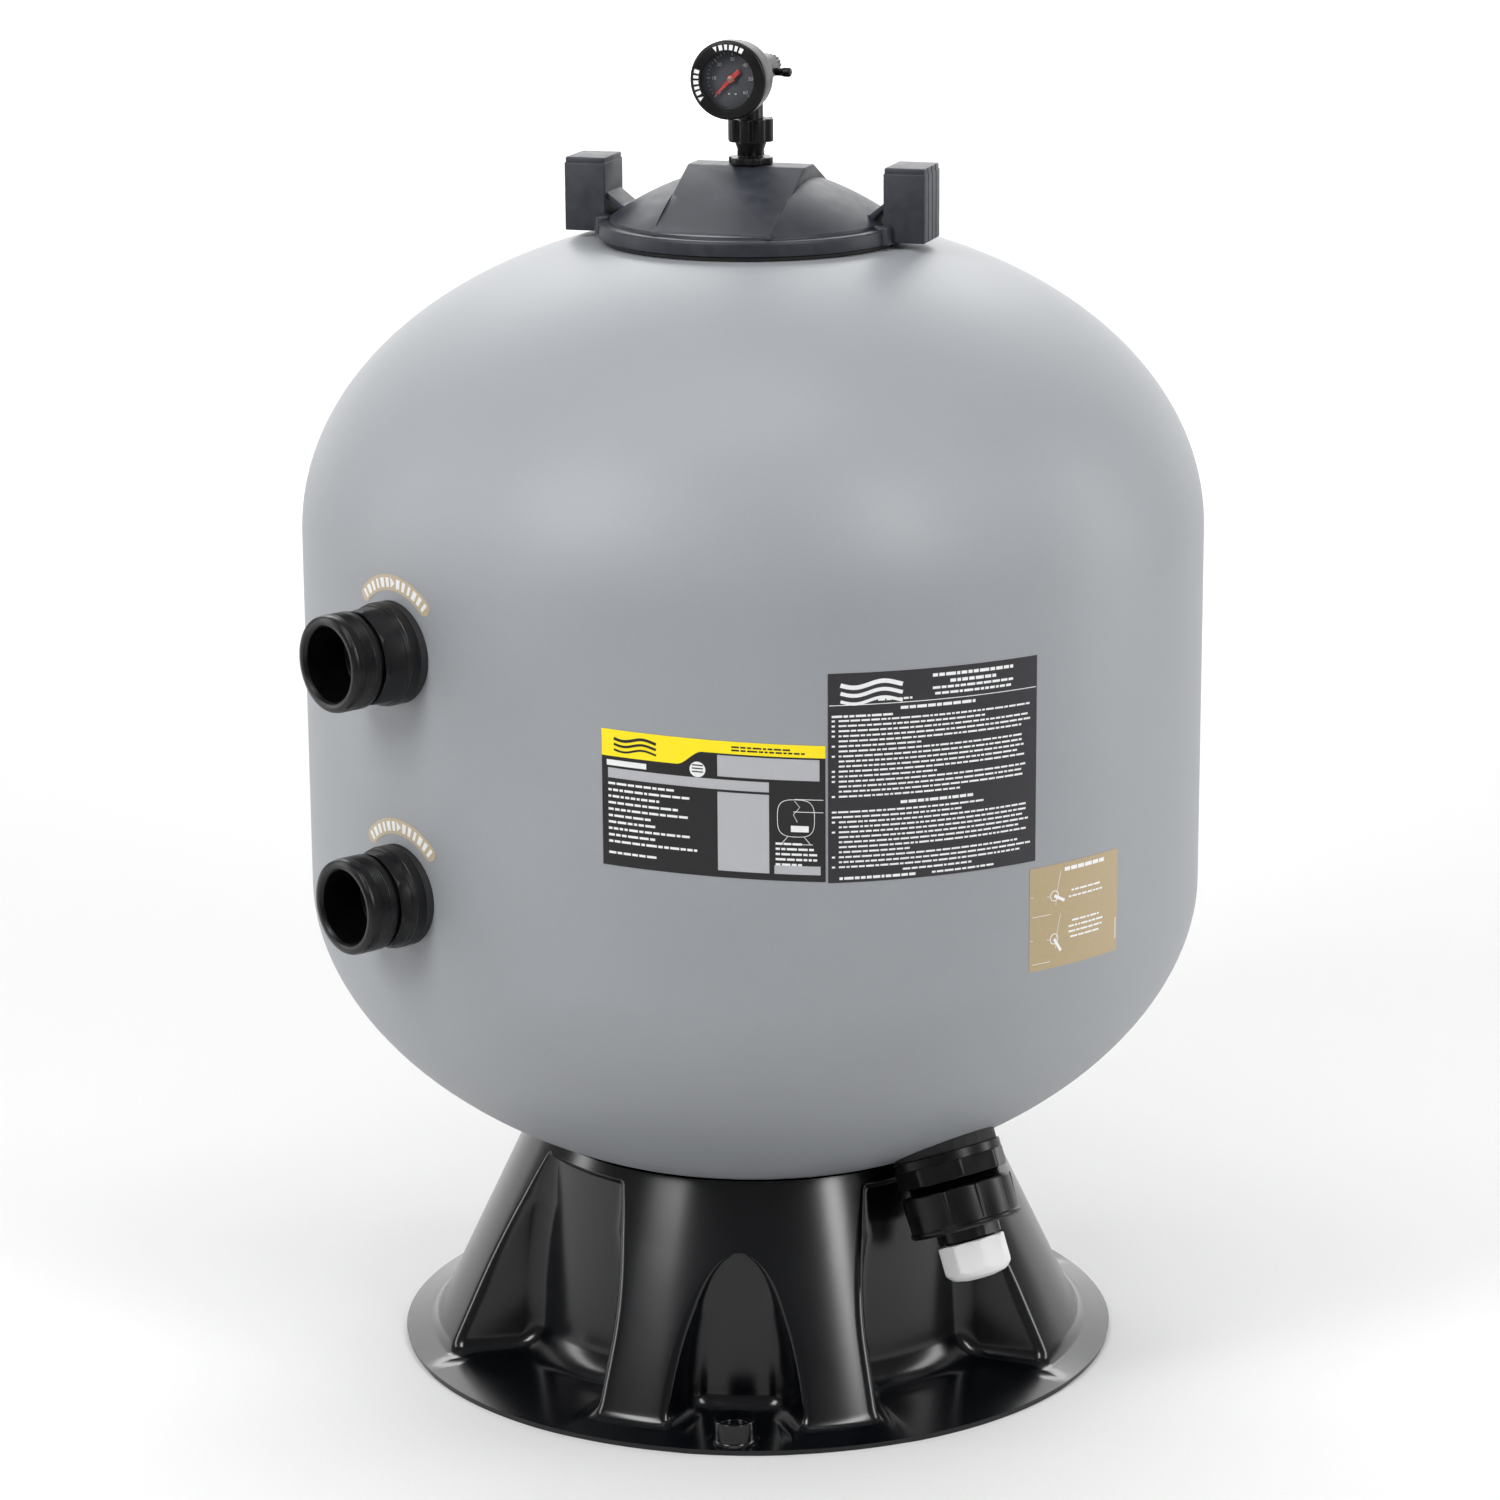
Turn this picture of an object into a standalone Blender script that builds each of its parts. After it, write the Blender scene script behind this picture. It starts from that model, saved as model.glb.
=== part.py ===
"""Side-mount sand filter tank for a pool or spa, built piece by piece.

Frame: metres, +Z up, origin at the middle of the bounding box's floor. The two
ports point towards -X, the drain points down and out towards -Y.
"""
from math import asin, atan2, cos, hypot, pi, radians, sin

import bmesh
import bpy
from mathutils import Vector

# ---- driving dimensions -------------------------------------------------------------
GAP = 0.0003                    # clearance kept between faces that touch
TANK_R = 0.381                  # a 30 inch tank
TANK_STEPS = 48
SHELL = 0.007                   # wall thickness
WALL_LOW_Z = 0.4124             # straight wall, bottom and top
WALL_TOP_Z = 0.7199
DOME_RISE = 0.2596              # superellipse height above the straight wall
DOME_POWER = 2.03
BOWL_DROP = 0.2541              # superellipse depth below the straight wall
BOWL_POWER = 1.88
LAND_Z = 0.9605                 # flat land around the neck
LAND_THICK = 0.010
NECK_HOLE_R = 0.107
NECK_BORE_R = 0.098

PORT_R = 0.0395                 # outside of each threaded nozzle
PORT_BORE_R = 0.03015           # takes a 2 inch pipe
PORT_HOLE_R = 0.0362            # through the tank's wall
PORT_SHANK_R = 0.0358
OUTLET_Z = 0.668
OUTLET_REACH = 0.448            # nozzle mouth, from the tank's axis
INLET_Z = 0.466
INLET_REACH = 0.439
TANK_X = (OUTLET_REACH - TANK_R) / 2    # tank axis, so that the box is centred

DRAIN_OUT = 0.240               # where the drain's axis leaves the bowl
DRAIN_Z = 0.222
DRAIN_TILT = radians(23.5)      # from straight down, outwards
DRAIN_HOLE_R = 0.0372
DRAIN_SHANK_R = 0.0368

LID_TURN = radians(-58.5)       # the lid and the gauge face this way
LID_R = 0.127
LID_LOW_Z = LAND_Z + 0.004
LID_RIM_Z = 0.977
LID_TOP_Z = 1.0209              # crown of the dome
LID_CURVE = 0.3417              # the dome falls by r squared over this
LID_BORE_R = 0.0108
GAUGE_Z = 1.100
NEEDLE_REST = radians(135)      # at the low end of the scale
LABEL_R = TANK_R + 0.0012       # clear of the tank's facets
LABEL_THICK = 0.0004

SKIRT_TOP_Z = 0.1975
SKIRT_LIP_Z = 0.1885
SKIRT_R = 0.3103
SKIRT_WALL = 0.0045
ARCH_TOP_Z = 0.140
ARCH_HALF = 0.067
BOLT_OUT = 0.288
ARCHED_QUARTERS = (0, 2)                # the back and the front, on one diagonal

PARTS_NAME = "sand_filter_tank"

for old in list(bpy.data.objects):
    bpy.data.objects.remove(old, do_unlink=True)

scene = bpy.context.scene
parts = bpy.data.collections.new(PARTS_NAME)
cutters = bpy.data.collections.new("cutters")
scene.collection.children.link(parts)
scene.collection.children.link(cutters)


# ---- materials ----------------------------------------------------------------------
def plastic(name, colour, roughness, metallic=0.0, alpha=1.0):
    material = bpy.data.materials.new(name)
    material.use_nodes = True
    shader = material.node_tree.nodes["Principled BSDF"]
    shader.inputs["Base Color"].default_value = (*colour, 1.0)
    shader.inputs["Roughness"].default_value = roughness
    shader.inputs["Metallic"].default_value = metallic
    shader.inputs["Alpha"].default_value = alpha
    return material


TANK_GREY = plastic("tank_grey", (0.36, 0.37, 0.38), 0.42)
SKIRT_BLACK = plastic("skirt_black", (0.012, 0.013, 0.016), 0.16)
FITTING_BLACK = plastic("fitting_black", (0.018, 0.018, 0.020), 0.38)
LID_CHARCOAL = plastic("lid_charcoal", (0.055, 0.057, 0.066), 0.42)
PIPE_WHITE = plastic("pipe_white", (0.80, 0.80, 0.78), 0.35)
CAP_WHITE = plastic("cap_white", (0.86, 0.86, 0.85), 0.40)
SEAL_RUBBER = plastic("seal_rubber", (0.02, 0.02, 0.02), 0.75)
LABEL_BLACK = plastic("label_black", (0.03, 0.03, 0.03), 0.35)
LABEL_GOLD = plastic("label_gold", (0.48, 0.38, 0.22), 0.45)
DIAL_BLACK = plastic("dial_black", (0.02, 0.02, 0.02), 0.5)
NEEDLE_RED = plastic("needle_red", (0.75, 0.05, 0.03), 0.4)
BRASS = plastic("brass", (0.62, 0.44, 0.18), 0.3, metallic=1.0)
CLEAR = plastic("clear", (0.9, 0.92, 0.92), 0.05, alpha=0.3)


# ---- modelling helpers --------------------------------------------------------------
def empty(name, place, turn=(0, 0, 0), parent=None):
    guide = bpy.data.objects.new(name, None)
    parts.objects.link(guide)
    guide.location = place
    guide.rotation_euler = turn
    guide.parent = parent
    return guide


def keep(obj, material, parent):
    """Put a finished piece under its parent, with its material."""
    parts.objects.link(obj)
    obj.parent = parent
    obj.data.materials.clear()
    obj.data.materials.append(material)
    return obj


def as_cutter(obj, parent=None):
    cutters.objects.link(obj)
    obj.parent = parent
    obj.hide_render = True
    obj.display_type = "WIRE"
    return obj


def runs_down_outside(profile):
    """True when the outline goes down its outer side, by the sign of its area."""
    area = 0.0
    for (r1, z1), (r2, z2) in zip(profile, profile[1:] + profile[:1]):
        area += r1 * z2 - r2 * z1
    return area < 0


def turned(name, profile, steps=24, loop=True):
    """A turned body from its half section, (radius, height) points in either direction."""
    if not runs_down_outside(profile):
        profile = profile[::-1]
    mesh = bpy.data.meshes.new(name)
    count = len(profile)
    edges = [(i, i + 1) for i in range(count - 1)]
    if loop:
        edges.append((count - 1, 0))
    mesh.from_pydata([(r, 0, z) for r, z in profile], edges, [])
    obj = bpy.data.objects.new(name, mesh)
    screw = obj.modifiers.new("turn", "SCREW")
    screw.steps = steps
    screw.render_steps = steps
    screw.use_merge_vertices = True
    screw.merge_threshold = 0.00001
    screw.use_normal_calculate = False
    return obj


def baked(obj):
    """The same object with its modifiers made real, for vertex edits."""
    scene.collection.objects.link(obj)
    bpy.context.view_layer.update()
    view = obj.evaluated_get(bpy.context.evaluated_depsgraph_get())
    mesh = bpy.data.meshes.new_from_object(view)
    scene.collection.objects.unlink(obj)
    name = obj.name
    bpy.data.objects.remove(obj)
    work = bmesh.new()
    work.from_mesh(mesh)
    bmesh.ops.remove_doubles(work, verts=work.verts, dist=0.00001)
    work.to_mesh(mesh)
    work.free()
    return bpy.data.objects.new(name, mesh)


def lobed(obj, lobes, depth, inner, low=-1.0, high=9.0):
    """Scallop the outside of a turned body, where it is wider than inner."""
    obj = baked(obj)
    for vertex in obj.data.vertices:
        radius = hypot(vertex.co.x, vertex.co.y)
        if radius < inner or not low < vertex.co.z < high:
            continue
        angle = atan2(vertex.co.y, vertex.co.x)
        dip = depth * (0.5 - 0.5 * cos(lobes * angle)) ** 2
        vertex.co.x *= (radius - dip) / radius
        vertex.co.y *= (radius - dip) / radius
    return obj


def rod(name, radius, low, high, steps=24):
    profile = [(0, high), (radius, high), (radius, low), (0, low)]
    return turned(name, profile, steps, loop=False)


def ring_profile(outer, inner, low, high, ease=0.0):
    """A square ring, its two outer edges eased by a small chamfer."""
    if not ease:
        return [(outer, high), (outer, low), (inner, low), (inner, high)]
    return [(outer - ease, high), (outer, high - ease), (outer, low + ease),
            (outer - ease, low), (inner, low), (inner, high)]


def block(name, low, high):
    work = bmesh.new()
    bmesh.ops.create_cube(work, size=1.0)
    size = [b - a for a, b in zip(low, high)]
    middle = [(a + b) / 2 for a, b in zip(low, high)]
    bmesh.ops.scale(work, verts=work.verts, vec=size)
    bmesh.ops.translate(work, verts=work.verts, vec=middle)
    mesh = bpy.data.meshes.new(name)
    work.to_mesh(mesh)
    work.free()
    return bpy.data.objects.new(name, mesh)


def plate(name, outline, low, high):
    """A flat outline in local X and Y, given anticlockwise, with a thickness along Z."""
    work = bmesh.new()
    face = work.faces.new([work.verts.new((x, y, low)) for x, y in outline])
    face.normal_flip()
    moved = bmesh.ops.extrude_face_region(work, geom=[face])["geom"]
    tops = [item for item in moved if isinstance(item, bmesh.types.BMVert)]
    bmesh.ops.translate(work, verts=tops, vec=(0, 0, high - low))
    bmesh.ops.recalc_face_normals(work, faces=work.faces)
    mesh = bpy.data.meshes.new(name)
    work.to_mesh(mesh)
    work.free()
    return bpy.data.objects.new(name, mesh)


def boolean(obj, other, operation="DIFFERENCE"):
    step = obj.modifiers.new("cut", "BOOLEAN")
    step.object = other
    step.operation = operation
    step.solver = "EXACT"
    return obj


def bent_route(corners, bend, points=5):
    """Straight runs between the corners, each corner rounded by an even arc."""
    corners = [Vector(c) for c in corners]
    route = [corners[0]]
    for before, corner, after in zip(corners, corners[1:], corners[2:]):
        start = corner + (before - corner).normalized() * bend
        end = corner + (after - corner).normalized() * bend
        for i in range(points):
            t = i / (points - 1)
            route.append(start.lerp(corner, t).lerp(corner.lerp(end, t), t))
    route.append(corners[-1])
    return route


def hose(name, route, radius):
    """A round bar along a route, as a closed mesh."""
    curve = bpy.data.curves.new(name, "CURVE")
    curve.dimensions = "3D"
    curve.bevel_depth = radius
    curve.bevel_resolution = 3
    curve.use_fill_caps = True
    spline = curve.splines.new("POLY")
    spline.points.add(len(route) - 1)
    for point, place in zip(spline.points, route):
        point.co = (*place, 1.0)
    return baked(bpy.data.objects.new(name, curve))


def pipe(name, corners, outer, inner, bend, parent, material):
    """A hollow pipe: the bar along the route, drilled by a thinner, longer one."""
    route = bent_route(corners, bend)
    body = keep(hose(name, route, outer), material, parent)
    first = route[0] + (route[0] - route[1]).normalized() * 0.01
    last = route[-1] + (route[-1] - route[-2]).normalized() * 0.01
    core = as_cutter(hose(name + "_core", [first] + route[1:-1] + [last], inner), parent)
    return boolean(body, core)


def superellipse(radius, rise, power, start, end, count):
    """Points of a dome's half outline between two parameter angles."""
    points = []
    for i in range(count + 1):
        a = start + (end - start) * i / count
        points.append((radius * max(cos(a), 0.0) ** (2 / power), rise * sin(a) ** (2 / power)))
    return points


def dome_angle(rise, power, height):
    return asin((height / rise) ** (power / 2))


def vessel(name, inset, land_z, dome_count, bowl_count):
    """The vessel's outline filled solid, to cut its neighbours to its wall."""
    outline = tank_outline(inset, land_z, dome_count, bowl_count)
    return turned(name, [(0.0, outline[0][1])] + outline, TANK_STEPS, loop=False)


def tank_outline(inset, land_z, dome_count, bowl_count):
    """Half outline of the vessel from its neck land down to its lowest point."""
    radius = TANK_R - inset
    rise = DOME_RISE - inset
    top = dome_angle(rise, DOME_POWER, land_z - WALL_TOP_Z)
    dome = superellipse(radius, rise, DOME_POWER, top, 0.0, dome_count)
    bowl = superellipse(radius, BOWL_DROP - inset, BOWL_POWER, 0.0, pi / 2, bowl_count)
    points = [(r, WALL_TOP_Z + z) for r, z in dome]
    points += [(r, WALL_LOW_Z - z) for r, z in bowl]
    points[-1] = (0.0, points[-1][1])
    return points


# ---- guides: one empty for each axis that pieces are built on --------------------------
tank_axis = empty("tank_axis", (TANK_X, 0, 0))
outlet_axis = empty("outlet_axis", (0, 0, OUTLET_Z), (0, -pi / 2, 0), tank_axis)
inlet_axis = empty("inlet_axis", (0, 0, INLET_Z), (0, -pi / 2, 0), tank_axis)
drain_axis = empty("drain_axis", (0, -DRAIN_OUT, DRAIN_Z), (pi - DRAIN_TILT, 0, 0), tank_axis)
lid_axis = empty("lid_axis", (0, 0, 0), (0, 0, LID_TURN), tank_axis)
# The gauge's own axis: local +Z runs forwards, out of the dial, and local +X to the side.
gauge_axis = empty("gauge_axis", (0, 0, GAUGE_Z), (pi / 2, 0, 0), lid_axis)


# ---- pressure vessel -------------------------------------------------------------------
def make_tank_shell():
    outside = tank_outline(0.0, LAND_Z, 7, 8)
    inside = tank_outline(SHELL, LAND_Z - LAND_THICK, 5, 6)
    profile = inside[::-1]
    profile += [(NECK_HOLE_R, LAND_Z - LAND_THICK), (NECK_HOLE_R, LAND_Z)]
    profile += outside
    shell = keep(turned("tank_shell", profile, TANK_STEPS, loop=False), TANK_GREY, tank_axis)
    for axis, name in ((outlet_axis, "outlet_hole"), (inlet_axis, "inlet_hole")):
        boolean(shell, as_cutter(rod(name, PORT_HOLE_R, 0.30, 0.45), axis))
    boolean(shell, as_cutter(rod("drain_hole", DRAIN_HOLE_R, -0.04, 0.04), drain_axis))


def make_neck_ring():
    profile = [(0.1067, LAND_Z - GAP), (0.1067, LAND_Z - LAND_THICK - GAP),
               (0.126, LAND_Z - LAND_THICK - GAP), (0.126, 0.9425), (0.111, 0.9405),
               (0.108, 0.925), (NECK_BORE_R, 0.925), (NECK_BORE_R, LAND_Z - GAP)]
    keep(turned("neck_ring", profile, 32), FITTING_BLACK, tank_axis)


# ---- base skirt --------------------------------------------------------------------
def cone_radius(z):
    return 0.2130 - 0.471 * (z - 0.1584)


SKIRT_ROWS = (0.1975, 0.1885, 0.160, 0.141, 0.120, 0.090, 0.050, 0.030, 0.015)
SKIRT_FLOOR = ((0.2905, 0.0085), (0.300, 0.0052), (SKIRT_R, SKIRT_WALL))


def arch_half_angle(z):
    if z >= ARCH_TOP_Z:
        return radians(1.0)
    half = ARCH_HALF * (1 - (z / ARCH_TOP_Z) ** 2.5) ** 0.5
    return max(asin(half / cone_radius(z)), radians(1.0))


def bay_half_angle(z):
    return radians(13.0 + 9.0 * (1 - z / SKIRT_TOP_Z) ** 1.5)


def arch_section(z):
    """Radius of the arch recess's back wall, with a fillet at its foot."""
    if z >= ARCH_TOP_Z:
        return cone_radius(z)
    foot = 0.012 * max(0.0, (0.040 - z) / 0.025) ** 2
    return cone_radius(ARCH_TOP_Z) + 0.09 * (ARCH_TOP_Z - z) + foot


def bay_section(z):
    """Radius of the large bay's back wall, with a wide fillet at its foot."""
    if z >= SKIRT_LIP_Z:
        return cone_radius(z) - 0.002
    foot = 0.016 * max(0.0, (0.055 - z) / 0.040) ** 2
    return 0.1945 + 0.070 * (SKIRT_LIP_Z - z) + foot


def skirt_column(kind, z_rows):
    sections = {"pad": cone_radius, "arch": arch_section, "bay": bay_section}
    wall = [(sections[kind](z), z) for z in z_rows]
    wall[0] = (cone_radius(SKIRT_TOP_Z), SKIRT_TOP_Z)
    inner_floor = {"pad": 0.2865, "arch": 0.262, "bay": 0.244}[kind]
    return wall + [(inner_floor, SKIRT_FLOOR[0][1])] + list(SKIRT_FLOOR[1:])


def skirt_columns(z):
    """Angles from an arch's middle to the next bay's middle, each with its section."""
    arch = arch_half_angle(z)
    bay = pi / 4 - bay_half_angle(z)
    step = radians(1.3)
    return [(0.0, "arch"), (arch * 0.55, "arch"), (arch, "arch"), (arch + step, "pad"),
            ((arch + bay) / 2, "pad"), (bay - step, "pad"), (bay, "bay"),
            (bay + (pi / 4 - bay) * 0.5, "bay"), (pi / 4, "bay")]


def make_base_skirt():
    """An arch recess with a bolt boss at the front and at the back, plain pads at the two
    sides and four bays between, as one corrugated wall."""
    rings = []
    rows = len(SKIRT_ROWS) + len(SKIRT_FLOOR)
    for row in range(rows):
        z = SKIRT_ROWS[min(row, len(SKIRT_ROWS) - 1)]
        half = skirt_columns(z)
        sector = [(-a, kind) for a, kind in reversed(half[1:])] + half[:-1]
        ring = []
        for quarter in range(4):
            middle = pi / 4 + quarter * pi / 2
            for angle, kind in sector:
                if kind == "arch" and quarter not in ARCHED_QUARTERS:
                    kind = "pad"
                r, height = skirt_column(kind, SKIRT_ROWS)[row]
                ring.append((r * cos(middle + angle), r * sin(middle + angle), height))
        rings.append(ring)
    work = bmesh.new()
    grid = [[work.verts.new(place) for place in ring] for ring in rings]
    count = len(grid[0])
    for upper, lower in zip(grid, grid[1:]):
        for i in range(count):
            j = (i + 1) % count
            work.faces.new((upper[i], lower[i], lower[j], upper[j]))
    mesh = bpy.data.meshes.new("base_skirt")
    work.to_mesh(mesh)
    work.free()
    skirt = bpy.data.objects.new("base_skirt", mesh)
    wall = skirt.modifiers.new("wall", "SOLIDIFY")
    wall.thickness = SKIRT_WALL
    wall.offset = -1.0
    skirt = baked(skirt)
    for vertex in skirt.data.vertices:
        if vertex.co.z < 0.0012:
            vertex.co.z = 0.0
    keep(skirt, SKIRT_BLACK, tank_axis)
    for quarter in ARCHED_QUARTERS:
        angle = pi / 4 + quarter * pi / 2
        place = Vector((BOLT_OUT * cos(angle), BOLT_OUT * sin(angle), 0))
        boss = as_cutter(rod("bolt_boss_%d" % quarter, 0.0175, 0.002, 0.0245, 16), tank_axis)
        boss.location = place
        hole = as_cutter(rod("bolt_hole_%d" % quarter, 0.0060, -0.01, 0.04, 12), tank_axis)
        hole.location = place
        boolean(skirt, boss, "UNION")
        boolean(skirt, hole)


# ---- ports ---------------------------------------------------------------------------
def make_port(side, axis, reach):
    """One bulkhead fitting through the wall; local +Z is the outward direction."""
    flange_z = 0.3560
    mouth = reach
    barrel = [(PORT_R - 0.004, mouth), (PORT_R, mouth - 0.004), (PORT_R, mouth - 0.008)]
    crest = mouth - 0.010
    for _ in range(3):
        barrel += [(PORT_R - 0.0013, crest), (PORT_R, crest - 0.0020)]
        crest -= 0.0055
    barrel += [(PORT_R - 0.0035, crest + 0.0010), (PORT_SHANK_R, crest - 0.0015)]
    barrel += [(PORT_SHANK_R, flange_z + 0.008), (0.0500, flange_z + 0.008),
               (0.0520, flange_z + 0.006), (0.0520, flange_z)]
    barrel += [(PORT_BORE_R - 0.003, flange_z), (PORT_BORE_R - 0.003, mouth - 0.040),
               (PORT_BORE_R, mouth - 0.040), (PORT_BORE_R, mouth - 0.002),
               (PORT_BORE_R + 0.002, mouth)]
    keep(turned(side + "_bulkhead", barrel, 24), FITTING_BLACK, axis)

    # The two gaskets are saddles: flat on the fitting, curved to the tank's wall.
    outer = turned(side + "_outer_gasket", ring_profile(0.0418, 0.0363, 0.372, 0.3860), 24)
    inner = turned(side + "_inner_gasket", ring_profile(0.0490, 0.0366, 0.3643, 0.380), 24)
    outer = boolean(keep(outer, SEAL_RUBBER, axis), outside_wall)
    boolean(keep(inner, SEAL_RUBBER, axis), inside_wall, "INTERSECT")

    low = 0.3864
    nut_high = reach - 0.0300
    nut = [(0.0385, nut_high), (0.0400, nut_high - 0.002), (0.0400, low + 0.007),
           (0.0420, low + 0.005), (0.0420, low), (0.0363, low), (0.0363, nut_high)]
    nut = lobed(turned(side + "_lock_nut", nut, 32), 8, 0.0022, 0.0384, low=low + 0.006)
    keep(nut, FITTING_BLACK, axis)


# ---- plumbing inside the tank ----------------------------------------------------------
def make_plumbing():
    pipe("outlet_pipe", [(-0.3555, 0, OUTLET_Z), (0, 0, OUTLET_Z), (0, 0, 0.2463)],
         0.0300, 0.0265, 0.070, tank_axis, PIPE_WHITE)
    pipe("inlet_pipe", [(-0.3555, 0, INLET_Z), (-0.245, 0, INLET_Z), (-0.185, 0.105, 0.570),
                        (-0.185, 0.105, 0.8197)],
         0.0300, 0.0265, 0.050, tank_axis, PIPE_WHITE)
    diffuser_axis = empty("diffuser_axis", (-0.185, 0.105, 0.820), parent=tank_axis)
    head = [(0.020, 0.046), (0.046, 0.036), (0.050, 0.028), (0.036, 0.026), (0.036, 0.012),
            (0.034, 0.0), (0.027, 0.0), (0.027, 0.024), (0.020, 0.036)]
    keep(turned("inlet_diffuser", head, 20), PIPE_WHITE, diffuser_axis)

    keep(turned("lateral_hub", hub_outline(), 24, loop=False), PIPE_WHITE, tank_axis)
    for i in range(8):
        lateral_axis = empty("lateral_axis_%d" % (i + 1), (0, 0, 0.221),
                             (0, pi / 2, radians(22.5 + 45 * i)), tank_axis)
        profile = [(0.0, 0.195), (0.0080, 0.195), (0.0095, 0.193)]
        for ridge in range(3):
            foot = 0.170 - 0.040 * ridge
            profile += [(0.0095, foot + 0.010), (0.0082, foot + 0.006), (0.0082, foot - 0.006),
                        (0.0095, foot - 0.010)]
        profile += [(0.0095, 0.064), (0.0075, 0.060), (0.0075, 0.0445), (0.0, 0.0445)]
        keep(turned("lateral_%d" % (i + 1), profile, 6, loop=False), PIPE_WHITE, lateral_axis)

    pipe("air_relief_tube", [(0.036, 0, 0.2490), (0.060, 0, 0.30), (0.060, 0, 0.868)],
         0.0040, 0.0025, 0.020, tank_axis, PIPE_WHITE)
    screen_axis = empty("screen_axis", (0.060, 0, 0.8683), parent=tank_axis)
    screen = [(0.0, 0.030), (0.007, 0.030), (0.008, 0.028), (0.008, 0.002), (0.007, 0.0),
              (0.0, 0.0)]
    keep(turned("air_relief_screen", screen, 12, loop=False), PIPE_WHITE, screen_axis)


def hub_outline():
    """The hub is a cup: its open top takes the outlet pipe's lower end."""
    inside = [(0.0, 0.208), (0.0245, 0.212), (0.0245, 0.246)]
    outside = [(0.040, 0.246), (0.044, 0.242), (0.044, 0.200), (0.036, 0.194), (0.0, 0.194)]
    return inside + outside


# ---- drain ---------------------------------------------------------------------------
def make_drain():
    """Local +Z runs down and out of the bowl along the drain's axis."""
    body = [(DRAIN_SHANK_R, 0.0445), (DRAIN_SHANK_R, -0.0195), (0.0500, -0.0195),
            (0.0500, -0.0270), (0.0240, -0.0270), (0.0240, 0.0445)]
    crests = []
    for i in range(3):
        top = 0.0325 - 0.0026 * i
        crests += [(DRAIN_SHANK_R, top), (0.0392, top - 0.0009), (DRAIN_SHANK_R, top - 0.0018)]
    body = [body[0]] + crests + body[1:]
    keep(turned("drain_bulkhead", body, 24), FITTING_BLACK, drain_axis)

    inner = turned("drain_inner_gasket", ring_profile(0.0490, 0.0374, -0.0192, 0.006), 24)
    boolean(keep(inner, SEAL_RUBBER, drain_axis), inside_bowl, "INTERSECT")
    outer = turned("drain_outer_gasket", ring_profile(0.0440, 0.0374, -0.014, 0.0027), 24)
    boolean(keep(outer, SEAL_RUBBER, drain_axis), outside_bowl)

    lock = lobed(turned("drain_lock_nut", ring_profile(0.0470, 0.0374, 0.0030, 0.0250, 0.001),
                        32), 8, 0.0030, 0.045)
    keep(lock, FITTING_BLACK, drain_axis)

    screen = [(0.0, -0.070), (0.020, -0.070), (0.024, -0.066), (0.024, -0.0273),
              (0.020, -0.0273), (0.020, -0.064), (0.0, -0.065)]
    keep(turned("drain_screen", screen, 16, loop=False), PIPE_WHITE, drain_axis)

    tail = [(0.0355, 0.0560), (0.0355, 0.0485), (0.0185, 0.0485), (0.0185, 0.0985),
            (0.0210, 0.0985), (0.0210, 0.0790), (0.0270, 0.0780), (0.0270, 0.0560)]
    keep(turned("drain_tailpiece", tail, 20), FITTING_BLACK, drain_axis)
    keep(turned("drain_o_ring", ring_profile(0.0330, 0.0270, 0.0448, 0.0482, 0.0008), 20),
         SEAL_RUBBER, drain_axis)

    nut = [(0.0460, 0.0685), (0.0475, 0.0670), (0.0475, 0.0345), (0.0460, 0.0330),
           (0.0396, 0.0330), (0.0396, 0.0563), (0.0276, 0.0563), (0.0276, 0.0685)]
    nut = lobed(turned("drain_union_nut", nut, 48), 12, 0.0022, 0.0465, 0.034, 0.068)
    keep(nut, FITTING_BLACK, drain_axis)

    keep(turned("drain_cap_washer", ring_profile(0.0210, 0.0150, 0.0988, 0.1008), 20),
         SEAL_RUBBER, drain_axis)
    cup = [(0.0, 0.1011), (0.0216, 0.1011), (0.0216, 0.0800), (0.0255, 0.0800)]
    cup += [(0.0290, 0.0815), (0.0290, 0.1040), (0.0250, 0.1090), (0.0160, 0.1115), (0.0, 0.1125)]
    cap = baked(turned("drain_cap", cup, 24, loop=False))
    for vertex in cap.data.vertices:
        radius = hypot(vertex.co.x, vertex.co.y)
        if radius < 0.0240:
            continue
        angle = atan2(vertex.co.y, vertex.co.x)
        off_flat = (angle + pi / 8) % (pi / 4) - pi / 8
        flat = min(radius, radius * cos(pi / 8) / cos(off_flat) * 1.02)
        vertex.co.x *= flat / radius
        vertex.co.y *= flat / radius
    keep(cap, CAP_WHITE, drain_axis)


# ---- lid -----------------------------------------------------------------------------
def lid_height(r):
    return LID_TOP_Z - r * r / LID_CURVE


def stood_up(obj):
    """Turn a plate drawn as (y, z), thick along Z, so that it is thick along X."""
    for vertex in obj.data.vertices:
        y, z, x = vertex.co
        vertex.co = (x, y, z)
    return obj


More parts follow.
